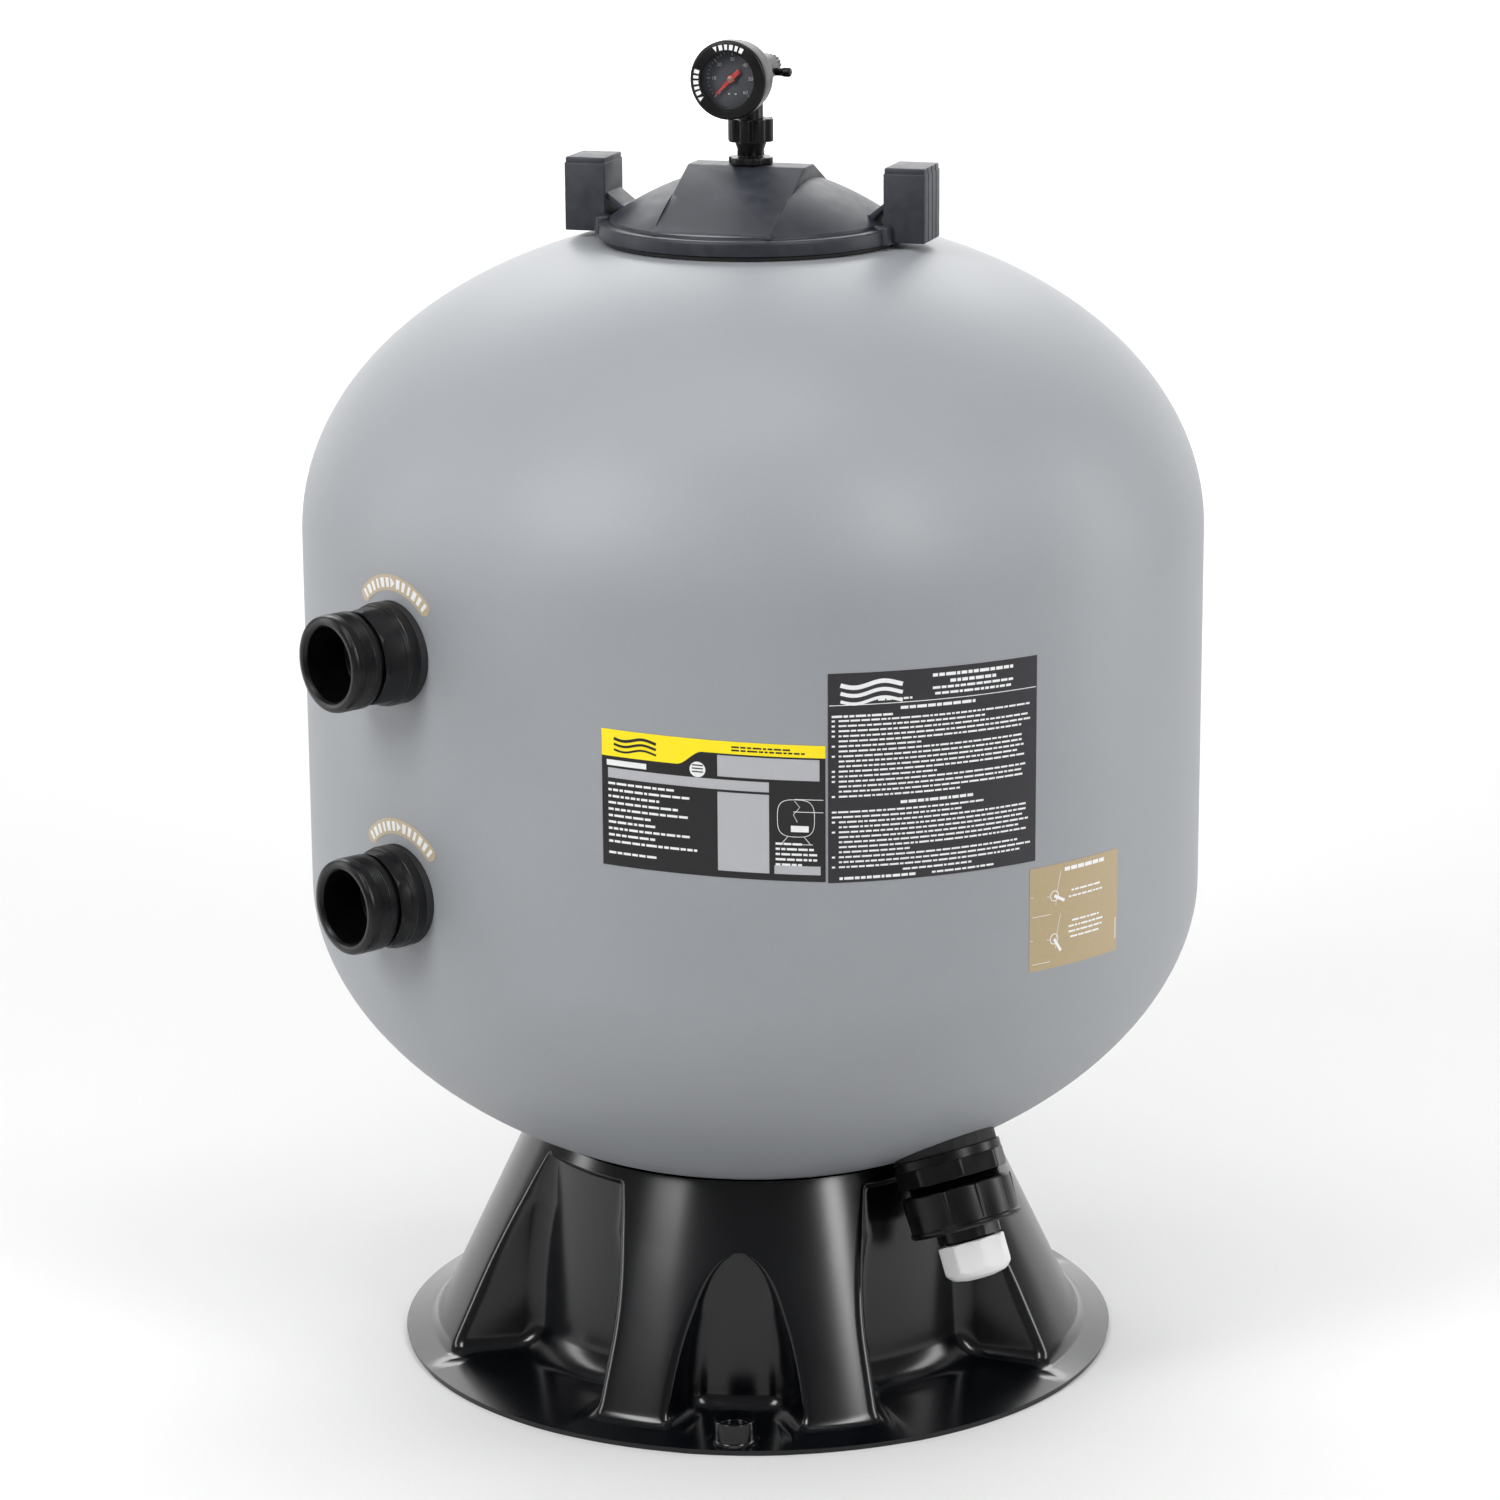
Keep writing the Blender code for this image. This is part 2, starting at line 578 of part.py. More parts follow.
def make_lid():
    keep(turned("lid_seal", ring_profile(0.1240, 0.1120, LAND_Z + GAP, LID_LOW_Z, 0.0010), 32),
         SEAL_RUBBER, lid_axis)
    low = LID_LOW_Z + GAP
    outline = [(LID_BORE_R, lid_height(0.0))]
    outline += [(r, lid_height(r)) for r in (0.040, 0.075, 0.100, 0.118)]
    outline += [(0.1182, LID_RIM_Z), (0.1255, LID_RIM_Z), (LID_R, LID_RIM_Z - 0.0015),
                (LID_R, low), (0.0945, low)]
    for i in range(3):
        crest = 0.9580 - 0.008 * i
        outline += [(0.0945, crest), (0.0970, crest - 0.0020), (0.0945, crest - 0.0040)]
    outline += [(0.0945, 0.9320), (0.0885, 0.9320), (0.0885, 0.9650)]
    outline += [(r, lid_height(r) - 0.006) for r in (0.080, 0.045, LID_BORE_R)]
    lid = keep(turned("lid", outline, 32), LID_CHARCOAL, lid_axis)

    # Gabled grip across the dome: flat crest, two long slopes, upright ends.
    gable = plate("lid_gable", [(-0.110, 0.9765), (0.110, 0.9765), (0.110, 0.9795),
                                (0.012, 1.0240), (-0.012, 1.0240), (-0.110, 0.9795)],
                  -0.051, 0.051)
    stood_up(gable)
    hollow = [(0.0, 1.0130)] + [(r, lid_height(r) - 0.005) for r in (0.045, 0.080)]
    hollow += [(0.0915, 0.975), (0.0915, 0.90), (0.0, 0.90)]
    hollow = as_cutter(turned("lid_hollow", hollow, 32, loop=False), lid_axis)
    bore = as_cutter(rod("lid_bore", LID_BORE_R, 0.95, 1.05, 16), lid_axis)
    boolean(gable, hollow)
    boolean(lid, as_cutter(gable, lid_axis), "UNION")
    boolean(lid, bore)

    for side in range(2):
        side_axis = empty("lid_side_%d" % side, (0, 0, 0), (0, 0, side * pi), lid_axis)
        lug = block("lid_lug_%d" % side, (0.1210, -0.0235, 0.9660), (0.1565, 0.0235, 1.0275))
        foot = block("lid_foot_%d" % side, (0.1120, -0.0200, 0.9670), (0.1220, 0.0200, 0.9765))
        web = plate("lid_web_%d" % side, [(0.088, 0.992), (0.123, 0.998), (0.123, 1.004),
                                          (0.088, 0.998)], -0.018, 0.018)
        web.rotation_euler.x = pi / 2
        for piece in (lug, foot, web):
            boolean(lid, as_cutter(piece, side_axis), "UNION")


# ---- gauge stack ---------------------------------------------------------------------
def make_stem():
    shank = [(0.0098, 1.0440), (0.0098, 1.0060), (0.0055, 1.0060), (0.0055, 1.0440)]
    nut = lobed(turned("stem_nut", ring_profile(0.01875, 0.0102, 1.0245, 1.0300, 0.0008), 24),
                6, 0.0028, 0.0175)
    keep(nut, FITTING_BLACK, lid_axis)
    stem = keep(turned("riser_stem", shank, 16), FITTING_BLACK, lid_axis)
    square = block("stem_square", (-0.0105, -0.0105, 1.0304), (0.0105, 0.0105, 1.0425))
    collar = rod("stem_thread", 0.0134, 1.0420, 1.0540, 20)
    core = rod("stem_core", 0.0055, 1.00, 1.06, 16)
    boolean(stem, as_cutter(square, lid_axis), "UNION")
    boolean(stem, as_cutter(collar, lid_axis), "UNION")
    boolean(stem, as_cutter(core, lid_axis))


def make_swivel():
    profile = [(0.0182, 1.0620), (0.01925, 1.0608), (0.01925, 1.0442), (0.0182, 1.0430),
               (0.0139, 1.0430), (0.0139, 1.0590), (0.0109, 1.0590), (0.0109, 1.0620)]
    keep(lobed(turned("swivel_nut", profile, 32), 8, 0.0030, 0.0180), FITTING_BLACK, lid_axis)
    keep(turned("swivel_seal", ring_profile(0.0130, 0.0060, 1.0543, 1.0560), 20),
         SEAL_RUBBER, lid_axis)
    tee = [(0.0, 1.1110), (0.0085, 1.1110), (0.0105, 1.1090), (0.0105, 1.0587), (0.0134, 1.0587),
           (0.0134, 1.0563), (0.0, 1.0563)]
    tee = keep(turned("gauge_tee", tee, 24, loop=False), FITTING_BLACK, lid_axis)
    barrel = [(0.0, 0.0300), (0.0115, 0.0300), (0.0115, -0.0420), (0.0090, -0.0460),
              (0.0, -0.0460)]
    boolean(tee, as_cutter(turned("tee_barrel", barrel, 24, False), gauge_axis), "UNION")
    spout_axis = empty("spout_axis", (0, -0.004, -0.0400), (0, pi / 2, 0), gauge_axis)
    boolean(tee, as_cutter(rod("tee_spout", 0.00335, 0.0, 0.0320, 12), spout_axis), "UNION")
    boolean(tee, as_cutter(rod("tee_bleed_bore", 0.0037, -0.060, -0.027, 12), gauge_axis))


def make_gauge():
    """Local +Z runs out of the dial."""
    case = [(0.0, 0.0303), (0.0200, 0.0303), (0.0285, 0.0330), (0.0285, 0.0600),
            (0.0266, 0.0600), (0.0266, 0.0480), (0.0, 0.0480)]
    keep(turned("gauge_case", case, 24, loop=False), FITTING_BLACK, gauge_axis)
    dial = rod("gauge_dial", 0.0262, 0.0483, 0.0493, 24)
    keep(boolean(dial, as_cutter(rod("dial_hole", 0.0016, 0.04, 0.06, 12), gauge_axis)),
         DIAL_BLACK, gauge_axis)
    post = [(0.0, 0.0553), (0.0012, 0.0553), (0.0012, 0.0483), (0.0, 0.0483)]
    keep(turned("needle_post", post, 12, loop=False), BRASS, gauge_axis)
    needle = plate("gauge_needle", [(-0.0018, -0.0085), (0.0018, -0.0085), (0.0018, -0.0020),
                                    (0.0007, 0.0165), (-0.0007, 0.0165), (-0.0018, -0.0020)],
                   0.0522, 0.0532)
    hub = rod("needle_hub", 0.0032, 0.0518, 0.0542, 16)
    hole = rod("needle_hole", 0.0015, 0.04, 0.07, 12)
    needle = keep(needle, NEEDLE_RED, empty("needle_axis", (0, 0, 0), (0, 0, NEEDLE_REST),
                                            gauge_axis))
    boolean(needle, as_cutter(hub, gauge_axis), "UNION")
    boolean(needle, as_cutter(hole, gauge_axis))
    keep(rod("gauge_lens", 0.0262, 0.0575, 0.0590, 24), CLEAR, gauge_axis)
    bezel = [(0.0295, 0.0630), (0.0305, 0.0618), (0.0305, 0.0505), (0.0289, 0.0505),
             (0.0289, 0.0605), (0.0215, 0.0605), (0.0205, 0.0630)]
    keep(turned("gauge_ring", bezel, 24), FITTING_BLACK, gauge_axis)


def make_bleed_valve():
    keep(rod("bleed_washer", 0.0031, -0.0300, -0.0276, 12), SEAL_RUBBER, gauge_axis)
    knob = [(0.0, -0.0303), (0.0032, -0.0303), (0.0032, -0.0490), (0.0085, -0.0490),
            (0.00925, -0.0500), (0.00925, -0.0580), (0.0085, -0.0590), (0.0, -0.0590)]
    knob = lobed(turned("bleed_knob", knob, 24, loop=False), 12, 0.0007, 0.0090)
    keep(knob, FITTING_BLACK, gauge_axis)


# ---- labels --------------------------------------------------------------------------
def wrapped(name, material, columns, rows, place):
    """A thin sticker on the straight wall; place(i, j) gives (azimuth, height)."""
    work = bmesh.new()
    grid = []
    for j in range(rows):
        line = []
        for i in range(columns):
            angle, z = place(i / (columns - 1), j / (rows - 1))
            line.append(work.verts.new((LABEL_R * sin(angle), -LABEL_R * cos(angle), z)))
        grid.append(line)
    for lower, upper in zip(grid, grid[1:]):
        for i in range(columns - 1):
            work.faces.new((lower[i], lower[i + 1], upper[i + 1], upper[i]))
    mesh = bpy.data.meshes.new(name)
    work.to_mesh(mesh)
    work.free()
    label = keep(bpy.data.objects.new(name, mesh), material, tank_axis)
    skin = label.modifiers.new("skin", "SOLIDIFY")
    skin.thickness = LABEL_THICK
    skin.offset = 1.0


def make_labels():
    """Azimuths are counted from -Y towards +X."""
    flats = (("spec_label", LABEL_BLACK, -59.2, -32.7, 0.5170, 0.6270, 0.006),
             ("instruction_label", LABEL_BLACK, -32.4, -5.2, 0.5090, 0.6775, 0.001),
             ("drain_label", LABEL_GOLD, -5.0, 8.4, 0.4145, 0.5005, 0.001))
    for name, material, left, right, low, high, lean in flats:
        def place(u, v, left=left, right=right, low=low, high=high, lean=lean):
            return radians(left + (right - left) * u), low + (high - low) * v + lean * (1 - 2 * u)
        wrapped(name, material, 7, 2, place)
    for name, height in (("outlet_label", OUTLET_Z), ("inlet_label", INLET_Z)):
        def place(u, v, height=height):
            swing = radians(-50 + 100 * u)
            reach = 0.0630 - 0.0130 * (1 - v)
            return -pi / 2 + reach * sin(swing) / TANK_R, height + reach * cos(swing)
        wrapped(name, LABEL_GOLD, 11, 2, place)


outside_wall = as_cutter(rod("outside_wall", TANK_R + 0.0004, 0.38, 0.76, TANK_STEPS), tank_axis)
inside_wall = as_cutter(rod("inside_wall", TANK_R - SHELL - 0.0004, 0.38, 0.76, TANK_STEPS), tank_axis)
outside_bowl = as_cutter(vessel("outside_bowl", -0.0004, LAND_Z, 7, 8), tank_axis)
inside_bowl = as_cutter(vessel("inside_bowl", SHELL + 0.0004, LAND_Z - LAND_THICK, 5, 6),
                        tank_axis)

make_tank_shell()
make_neck_ring()
make_base_skirt()
make_port("outlet", outlet_axis, OUTLET_REACH)
make_port("inlet", inlet_axis, INLET_REACH)
make_plumbing()
make_drain()
make_lid()
make_stem()
make_swivel()
make_gauge()
make_bleed_valve()
make_labels()
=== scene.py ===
"""Finished surfaces of the side-mount sand filter tank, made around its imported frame.

Metres, +Z up. The ports point towards -X, the drain runs down and out towards -Y, and the
lid and its gauge face the same way, a turn of LID_TURN from -Y.
"""
import random
from math import asin, ceil, cos, pi, radians, sin

import bmesh
import bpy
from mathutils import Matrix, Vector


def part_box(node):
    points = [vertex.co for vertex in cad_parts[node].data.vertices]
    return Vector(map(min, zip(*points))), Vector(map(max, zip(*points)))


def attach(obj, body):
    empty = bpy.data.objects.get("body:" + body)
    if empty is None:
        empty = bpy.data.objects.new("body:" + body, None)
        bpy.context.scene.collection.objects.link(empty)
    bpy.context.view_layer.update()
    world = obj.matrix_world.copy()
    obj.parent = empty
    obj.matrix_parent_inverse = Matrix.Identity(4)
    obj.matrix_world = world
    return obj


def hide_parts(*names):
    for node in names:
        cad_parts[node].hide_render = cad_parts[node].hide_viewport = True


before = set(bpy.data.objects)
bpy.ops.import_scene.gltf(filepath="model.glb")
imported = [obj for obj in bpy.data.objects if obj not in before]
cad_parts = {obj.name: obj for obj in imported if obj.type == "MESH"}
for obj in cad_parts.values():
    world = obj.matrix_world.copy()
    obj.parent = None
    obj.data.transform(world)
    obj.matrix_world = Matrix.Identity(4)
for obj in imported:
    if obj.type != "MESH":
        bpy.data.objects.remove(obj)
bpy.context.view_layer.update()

MM = 0.001
scene = bpy.context.scene

# ---- sizes taken from the frame ------------------------------------------------------
shell_low, shell_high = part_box("tank_shell")
TANK_X = (shell_low.x + shell_high.x) / 2
TANK_R = (shell_high.x - shell_low.x) / 2
TANK_FOOT_Z = shell_low.z
LAND_Z = shell_high.z                   # flat land under the lid
OUTLET_Z = sum(corner.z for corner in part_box("outlet_bulkhead")) / 2
OUTLET_REACH = TANK_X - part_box("outlet_bulkhead")[0].x
INLET_Z = sum(corner.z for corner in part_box("inlet_bulkhead")) / 2
INLET_REACH = TANK_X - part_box("inlet_bulkhead")[0].x
SKIRT_TOP_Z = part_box("base_skirt")[1].z
SKIRT_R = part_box("base_skirt")[1].x - TANK_X
LUG_TOP_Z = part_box("lid")[1].z
LID_FOOT_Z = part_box("lid_seal")[1].z + 0.3 * MM

# ---- sizes shared with the solids -----------------------------------------------------
SHELL = 0.007
WALL_LOW_Z = 0.4124                     # the straight wall's two ends
WALL_TOP_Z = 0.7199
DOME_RISE = 0.2596
DOME_POWER = 2.03
BOWL_DROP = WALL_LOW_Z - TANK_FOOT_Z
BOWL_POWER = 1.88
NECK_HOLE_R = 0.107
PORT_R = 0.0395
PORT_BORE_R = 0.03015
PORT_HOLE_R = 0.0362
PORT_SHANK_R = 0.0358
DRAIN_OUT = 0.240
DRAIN_Z = 0.222
DRAIN_TILT = radians(23.5)
DRAIN_HOLE_R = 0.0372
DRAIN_SHANK_R = 0.0368
LID_TURN = radians(-58.5)
LID_R = 0.127
LID_RIM_Z = 0.977
LID_TOP_Z = 1.0209
LID_CURVE = 0.3417                      # the dome falls by r squared over this
LID_BORE_R = 0.0108
GAUGE_Z = 1.100
NEEDLE_REST = radians(135)
FACE = 1.065                            # the gauge's face against its solids
DIAL_FACE_Z = 0.0493                    # heights up the gauge's own axis
RING_FACE_Z = 0.0630
SKIRT_LIP_Z = 0.1885
SKIRT_WALL = 0.0045
ARCH_TOP_Z = 0.1435
ARCH_HALF = 0.066
ARCHED_QUARTERS = (0, 2)                # the back and the front; the sides are plain
BOLT_OUT = 0.288


def guide(place, turn=0.0, axis="Z", within=Matrix.Identity(4)):
    return within @ Matrix.Translation(place) @ Matrix.Rotation(turn, 4, axis)


TANK = guide((TANK_X, 0, 0))
OUTLET = guide((0, 0, OUTLET_Z), -pi / 2, "Y", TANK)         # +Z runs out of the port
INLET = guide((0, 0, INLET_Z), -pi / 2, "Y", TANK)
DRAIN = guide((0, -DRAIN_OUT, DRAIN_Z), pi - DRAIN_TILT, "X", TANK)
LID = guide((0, 0, 0), LID_TURN, "Z", TANK)
GAUGE = guide((0, 0, GAUGE_Z), pi / 2, "X", LID)             # +Z runs out of the dial


# ---- materials --------------------------------------------------------------------------
def linear(hex_colour):
    """An sRGB hex colour as linear RGBA."""
    channels = [int(hex_colour[i:i + 2], 16) / 255 for i in (1, 3, 5)]
    return tuple(c / 12.92 if c <= 0.04045 else ((c + 0.055) / 1.055) ** 2.4
                 for c in channels) + (1.0,)


def add(tree, kind, inputs, **settings):
    """One node with its settings; an input is a value or the socket that feeds it."""
    made = tree.nodes.new("ShaderNode" + kind)
    for key, value in settings.items():
        setattr(made, key, value)
    for key, value in inputs.items():
        if isinstance(value, bpy.types.NodeSocket):
            tree.links.new(value, made.inputs[key])
        else:
            made.inputs[key].default_value = value
    return made


def blank(name):
    """A new material's tree, its shader and the object's own coordinates."""
    material = bpy.data.materials.new(name)
    material.use_nodes = True
    tree = material.node_tree
    shader = tree.nodes["Principled BSDF"]
    place = add(tree, "TexCoord", {}).outputs["Object"]
    return material, tree, shader, place


def moulded(name, colour, paler_cloud_and_edge_highlight, rough, rough_swing, cloud_mm, grain_mm, grain_depth_mm,
            shine=0.5, edge_highlight_and_wear=0.5):
    """A moulded part: cloudy colour, edges painted paler (a painted highlight along them, with
    some rubbed wear), a grained skin off the tool.
    """
    material, tree, shader, place = blank(name)
    cloud = add(tree, "TexNoise", {"Vector": place, "Scale": 1 / (cloud_mm * MM), "Detail": 4.0})
    grain = add(tree, "TexNoise", {"Vector": place, "Scale": 1 / (grain_mm * MM), "Detail": 3.0})
    # Pointiness finds the edges, which are painted paler: a painted edge highlight that also
    # stands for rubbed wear.
    edges = add(tree, "NewGeometry", {}).outputs["Pointiness"]
    edge_highlight_and_wear_mask = add(tree, "MapRange", {"Value": edges, "From Min": 0.52, "From Max": 0.66,
                                    "To Min": 0.0, "To Max": edge_highlight_and_wear})
    patchy_edge_highlight = add(tree, "Math", {0: edge_highlight_and_wear_mask.outputs[0], 1: cloud.outputs[0]}, operation="MULTIPLY")
    drift = add(tree, "MapRange", {"Value": cloud.outputs[0], "From Min": 0.3, "From Max": 0.7,
                                   "To Min": 0.0, "To Max": 0.22})
    cloud_and_edge_highlight = add(tree, "Math", {0: patchy_edge_highlight.outputs[0], 1: drift.outputs[0]}, operation="ADD",
               use_clamp=True)
    tint = add(tree, "Mix", {0: cloud_and_edge_highlight.outputs[0], 6: linear(colour), 7: linear(paler_cloud_and_edge_highlight)},
               data_type="RGBA")
    polish = add(tree, "MapRange", {"Value": cloud.outputs[0], "From Min": 0.25,
                                    "From Max": 0.75, "To Min": rough - rough_swing,
                                    "To Max": rough + rough_swing})
    skin = add(tree, "Bump", {"Height": grain.outputs[0], "Strength": 0.6,
                              "Distance": grain_depth_mm * MM})
    tree.links.new(tint.outputs[2], shader.inputs["Base Color"])
    tree.links.new(polish.outputs[0], shader.inputs["Roughness"])
    tree.links.new(skin.outputs[0], shader.inputs["Normal"])
    shader.inputs["Specular IOR Level"].default_value = shine
    return material


def rolled_tank_wall():
    """Polyethylene blown over a glass-fibre wound tank: satin grey, long soft waves."""
    material, tree, shader, place = blank("blown_polyethylene_tank")
    cloud = add(tree, "TexNoise", {"Vector": place, "Scale": 1 / 0.22, "Detail": 3.0})
    peel = add(tree, "TexNoise", {"Vector": place, "Scale": 1 / (4.0 * MM), "Detail": 2.0})
    grain = add(tree, "TexNoise", {"Vector": place, "Scale": 1 / (0.9 * MM), "Detail": 2.0})
    drift = add(tree, "MapRange", {"Value": cloud.outputs[0], "From Min": 0.3, "From Max": 0.7,
                                   "To Min": 0.0, "To Max": 1.0})
    tint = add(tree, "Mix", {0: drift.outputs[0], 6: linear("#8f9296"), 7: linear("#94979b")},
               data_type="RGBA")
    fleck = add(tree, "MapRange", {"Value": grain.outputs[0], "From Min": 0.35,
                                   "From Max": 0.75, "To Min": 0.0, "To Max": 0.10})
    speckled = add(tree, "Mix", {0: fleck.outputs[0], 6: tint.outputs[2],
                                 7: linear("#b9bcc1")}, data_type="RGBA")
    polish = add(tree, "MapRange", {"Value": cloud.outputs[0], "From Min": 0.3,
                                    "From Max": 0.7, "To Min": 0.43, "To Max": 0.50})
    orange_peel = add(tree, "Bump", {"Height": peel.outputs[0], "Strength": 0.35,
                                     "Distance": 0.05 * MM})
    skin = add(tree, "Bump", {"Height": grain.outputs[0], "Strength": 0.3,
                              "Distance": 0.02 * MM, "Normal": orange_peel.outputs[0]})
    tree.links.new(speckled.outputs[2], shader.inputs["Base Color"])
    tree.links.new(polish.outputs[0], shader.inputs["Roughness"])
    tree.links.new(skin.outputs[0], shader.inputs["Normal"])
    return material


def printed(name, colour, faded, rough):
    """Screen-printed vinyl: flat ink with a faint mottle and a smooth film over it."""
    material, tree, shader, place = blank(name)
    mottle = add(tree, "TexNoise", {"Vector": place, "Scale": 1 / (1.5 * MM), "Detail": 2.0})
    share = add(tree, "MapRange", {"Value": mottle.outputs[0], "From Min": 0.35,
                                   "From Max": 0.75, "To Min": 0.0, "To Max": 0.35})
    tint = add(tree, "Mix", {0: share.outputs[0], 6: linear(colour), 7: linear(faded)},
               data_type="RGBA")
    tree.links.new(tint.outputs[2], shader.inputs["Base Color"])
    tree.links.new(add(tree, "MapRange", {"Value": mottle.outputs[0], "To Min": rough,
                                          "To Max": rough + 0.1}).outputs[0],
                   shader.inputs["Roughness"])
    return material


def turned_brass():
    """Free-cutting brass, turned: fine rings of tool marks, a dull yellow."""
    material, tree, shader, place = blank("turned_brass")
    rings = add(tree, "TexWave", {"Vector": place, "Scale": 1 / (0.4 * MM), "Distortion": 1.0},
                wave_type="RINGS", rings_direction="Z")
    skin = add(tree, "Bump", {"Height": rings.outputs[1], "Strength": 0.2,
                              "Distance": 0.01 * MM})
    tree.links.new(skin.outputs[0], shader.inputs["Normal"])
    shader.inputs["Base Color"].default_value = linear("#d0a292")
    shader.inputs["Metallic"].default_value = 0.6
    shader.inputs["Roughness"].default_value = 0.42
    return material


def clear_lens():
    """Moulded polycarbonate, clear, with the faintest ripple."""
    material, tree, shader, place = blank("clear_polycarbonate")
    ripple = add(tree, "TexNoise", {"Vector": place, "Scale": 1 / (9 * MM), "Detail": 1.0})
    skin = add(tree, "Bump", {"Height": ripple.outputs[0], "Strength": 0.1,
                              "Distance": 0.02 * MM})
    tree.links.new(skin.outputs[0], shader.inputs["Normal"])
    shader.inputs["Base Color"].default_value = linear("#2a2c2e")
    shader.inputs["Alpha"].default_value = 0.14
    shader.inputs["Roughness"].default_value = 0.03
    shader.inputs["IOR"].default_value = 1.586
    return material


def matt_floor(glow=0.0):
    """Seamless backdrop paper: matt, a fine fibre, lit from behind where it glows."""
    material, tree, shader, place = blank("backdrop_paper")
    fibre = add(tree, "TexNoise", {"Vector": place, "Scale": 1 / (3 * MM), "Detail": 3.0})
    tint = add(tree, "Mix", {0: fibre.outputs[0], 6: linear("#dcdcdc"), 7: linear("#e3e3e3")},
               data_type="RGBA")
    tree.links.new(tint.outputs[2], shader.inputs["Base Color"])
    shader.inputs["Roughness"].default_value = 0.9
    shader.inputs["Emission Color"].default_value = (1.0, 1.0, 1.0, 1.0)
    shader.inputs["Emission Strength"].default_value = glow
    return material


TANK_WALL = rolled_tank_wall()
# Gloss ABS sheet, vacuum-formed over a tool: deep black, mirror-smooth, a slow ripple.
GLOSS_ABS = moulded("formed_gloss_abs", "#040508", "#0c0e13", 0.20, 0.02, 90, 30, 0.01, 0.5,
                    edge_highlight_and_wear=0.2)
# Injection-moulded ABS fittings: satin black with a fine spark-eroded grain.
SATIN_ABS = moulded("moulded_satin_abs", "#060608", "#16171b", 0.33, 0.06, 14, 0.8, 0.012, 0.32,
                    edge_highlight_and_wear=0.4)
# Glass-filled nylon lid: charcoal, the fibres show as a chalky cloud at the skin; its edges get
# the strongest painted highlight.
NYLON = moulded("glass_filled_nylon", "#25272f", "#454852", 0.47, 0.06, 11, 1.1, 0.03, 0.4,
                edge_highlight_and_wear=0.8)
# White PVC cap and pipes: smooth, slightly creamy.
WHITE_PVC = moulded("moulded_white_pvc", "#e3e3e4", "#f2f2f1", 0.36, 0.05, 12, 1.4, 0.01)
# Moulded EPDM rubber: dull black with a dusty bloom.
RUBBER = moulded("moulded_epdm", "#111113", "#26272a", 0.7, 0.06, 6, 0.6, 0.02)
# Painted spring-steel needle.
NEEDLE_PAINT = moulded("needle_enamel", "#f2483c", "#fb8a80", 0.35, 0.05, 4, 0.8, 0.004)
DIAL_PRINT = printed("printed_dial_face", "#5c5e66", "#6c6e75", 0.45)
VINYL_BLACK = printed("printed_vinyl_black", "#171518", "#1f1c1f", 0.38)
VINYL_CHARCOAL = printed("printed_vinyl_charcoal", "#242328", "#2e2d32", 0.40)
VINYL_GOLD = printed("printed_vinyl_gold", "#ad9a76", "#bcab8b", 0.42)
VINYL_BEIGE = printed("printed_vinyl_beige", "#b9a88c", "#c6b9a3", 0.45)
INK_YELLOW = printed("screen_ink_yellow", "#fbe204", "#fde93a", 0.36)
INK_WHITE = printed("screen_ink_white", "#eceded", "#d9dadb", 0.42)
INK_GREY = printed("screen_ink_grey", "#b1b2b6", "#a8a9ad", 0.42)
BRASS = turned_brass()
LENS = clear_lens()


# ---- modelling ----------------------------------------------------------------------------
def built(name, work, place=Matrix.Identity(4), crease=35):
    """A finished piece from its mesh work, smooth but for edges sharper than the crease."""
    bmesh.ops.remove_doubles(work, verts=work.verts, dist=0.001 * MM)
    bmesh.ops.recalc_face_normals(work, faces=work.faces)
    mesh = bpy.data.meshes.new(name)
    work.to_mesh(mesh)
    work.free()
    mesh.shade_smooth()
    mesh.set_sharp_from_angle(angle=radians(crease))
    piece = bpy.data.objects.new(name, mesh)
    scene.collection.objects.link(piece)
    piece.matrix_world = place
    return piece


def settled(piece, crease=35):
    """The piece with its modifiers made real."""
    bpy.context.view_layer.update()
    view = piece.evaluated_get(bpy.context.evaluated_depsgraph_get())
    mesh = bpy.data.meshes.new_from_object(view)
    piece.modifiers.clear()
    piece.data = mesh
    mesh.shade_smooth()
    mesh.set_sharp_from_angle(angle=radians(crease))
    return piece


def combined(piece, others, operation="UNION"):
    """The piece joined with, or cut by, the others, which are used up."""
    for other in others:
        step = piece.modifiers.new(operation.lower(), "BOOLEAN")
        step.object = other
        step.operation = operation
        step.solver = "EXACT"
    settled(piece)
    for other in others:
        bpy.data.objects.remove(other, do_unlink=True)
    return piece


def fitted(piece, body, finish, slot, *nodes):
    """Put a finished piece on its body, for the solids that it stands for."""
    piece.data.materials.clear()
    piece.data.materials.append(finish)
    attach(piece, body)
    if nodes:
        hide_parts(*nodes)
    return piece


def eased(corners, ease=0.8 * MM, points=4):
    """A closed outline with rounded corners; (r, z, own_ease) sets one corner's own."""
    line = []
    for i, corner in enumerate(corners):
        here = Vector(corner[:2])
        before = Vector(corners[i - 1][:2]) - here
        after = Vector(corners[(i + 1) % len(corners)][:2]) - here
        own = corner[2] if len(corner) > 2 else ease
        reach = min(own, before.length * 0.45, after.length * 0.45)
        if reach < 0.001 * MM:
            line.append(tuple(here))
            continue
        start = here + before.normalized() * reach
        end = here + after.normalized() * reach
        for k in range(points + 1):
            t = k / points
            line.append(tuple(start * (1 - t) ** 2 + here * (2 * t * (1 - t)) + end * t * t))
    return line


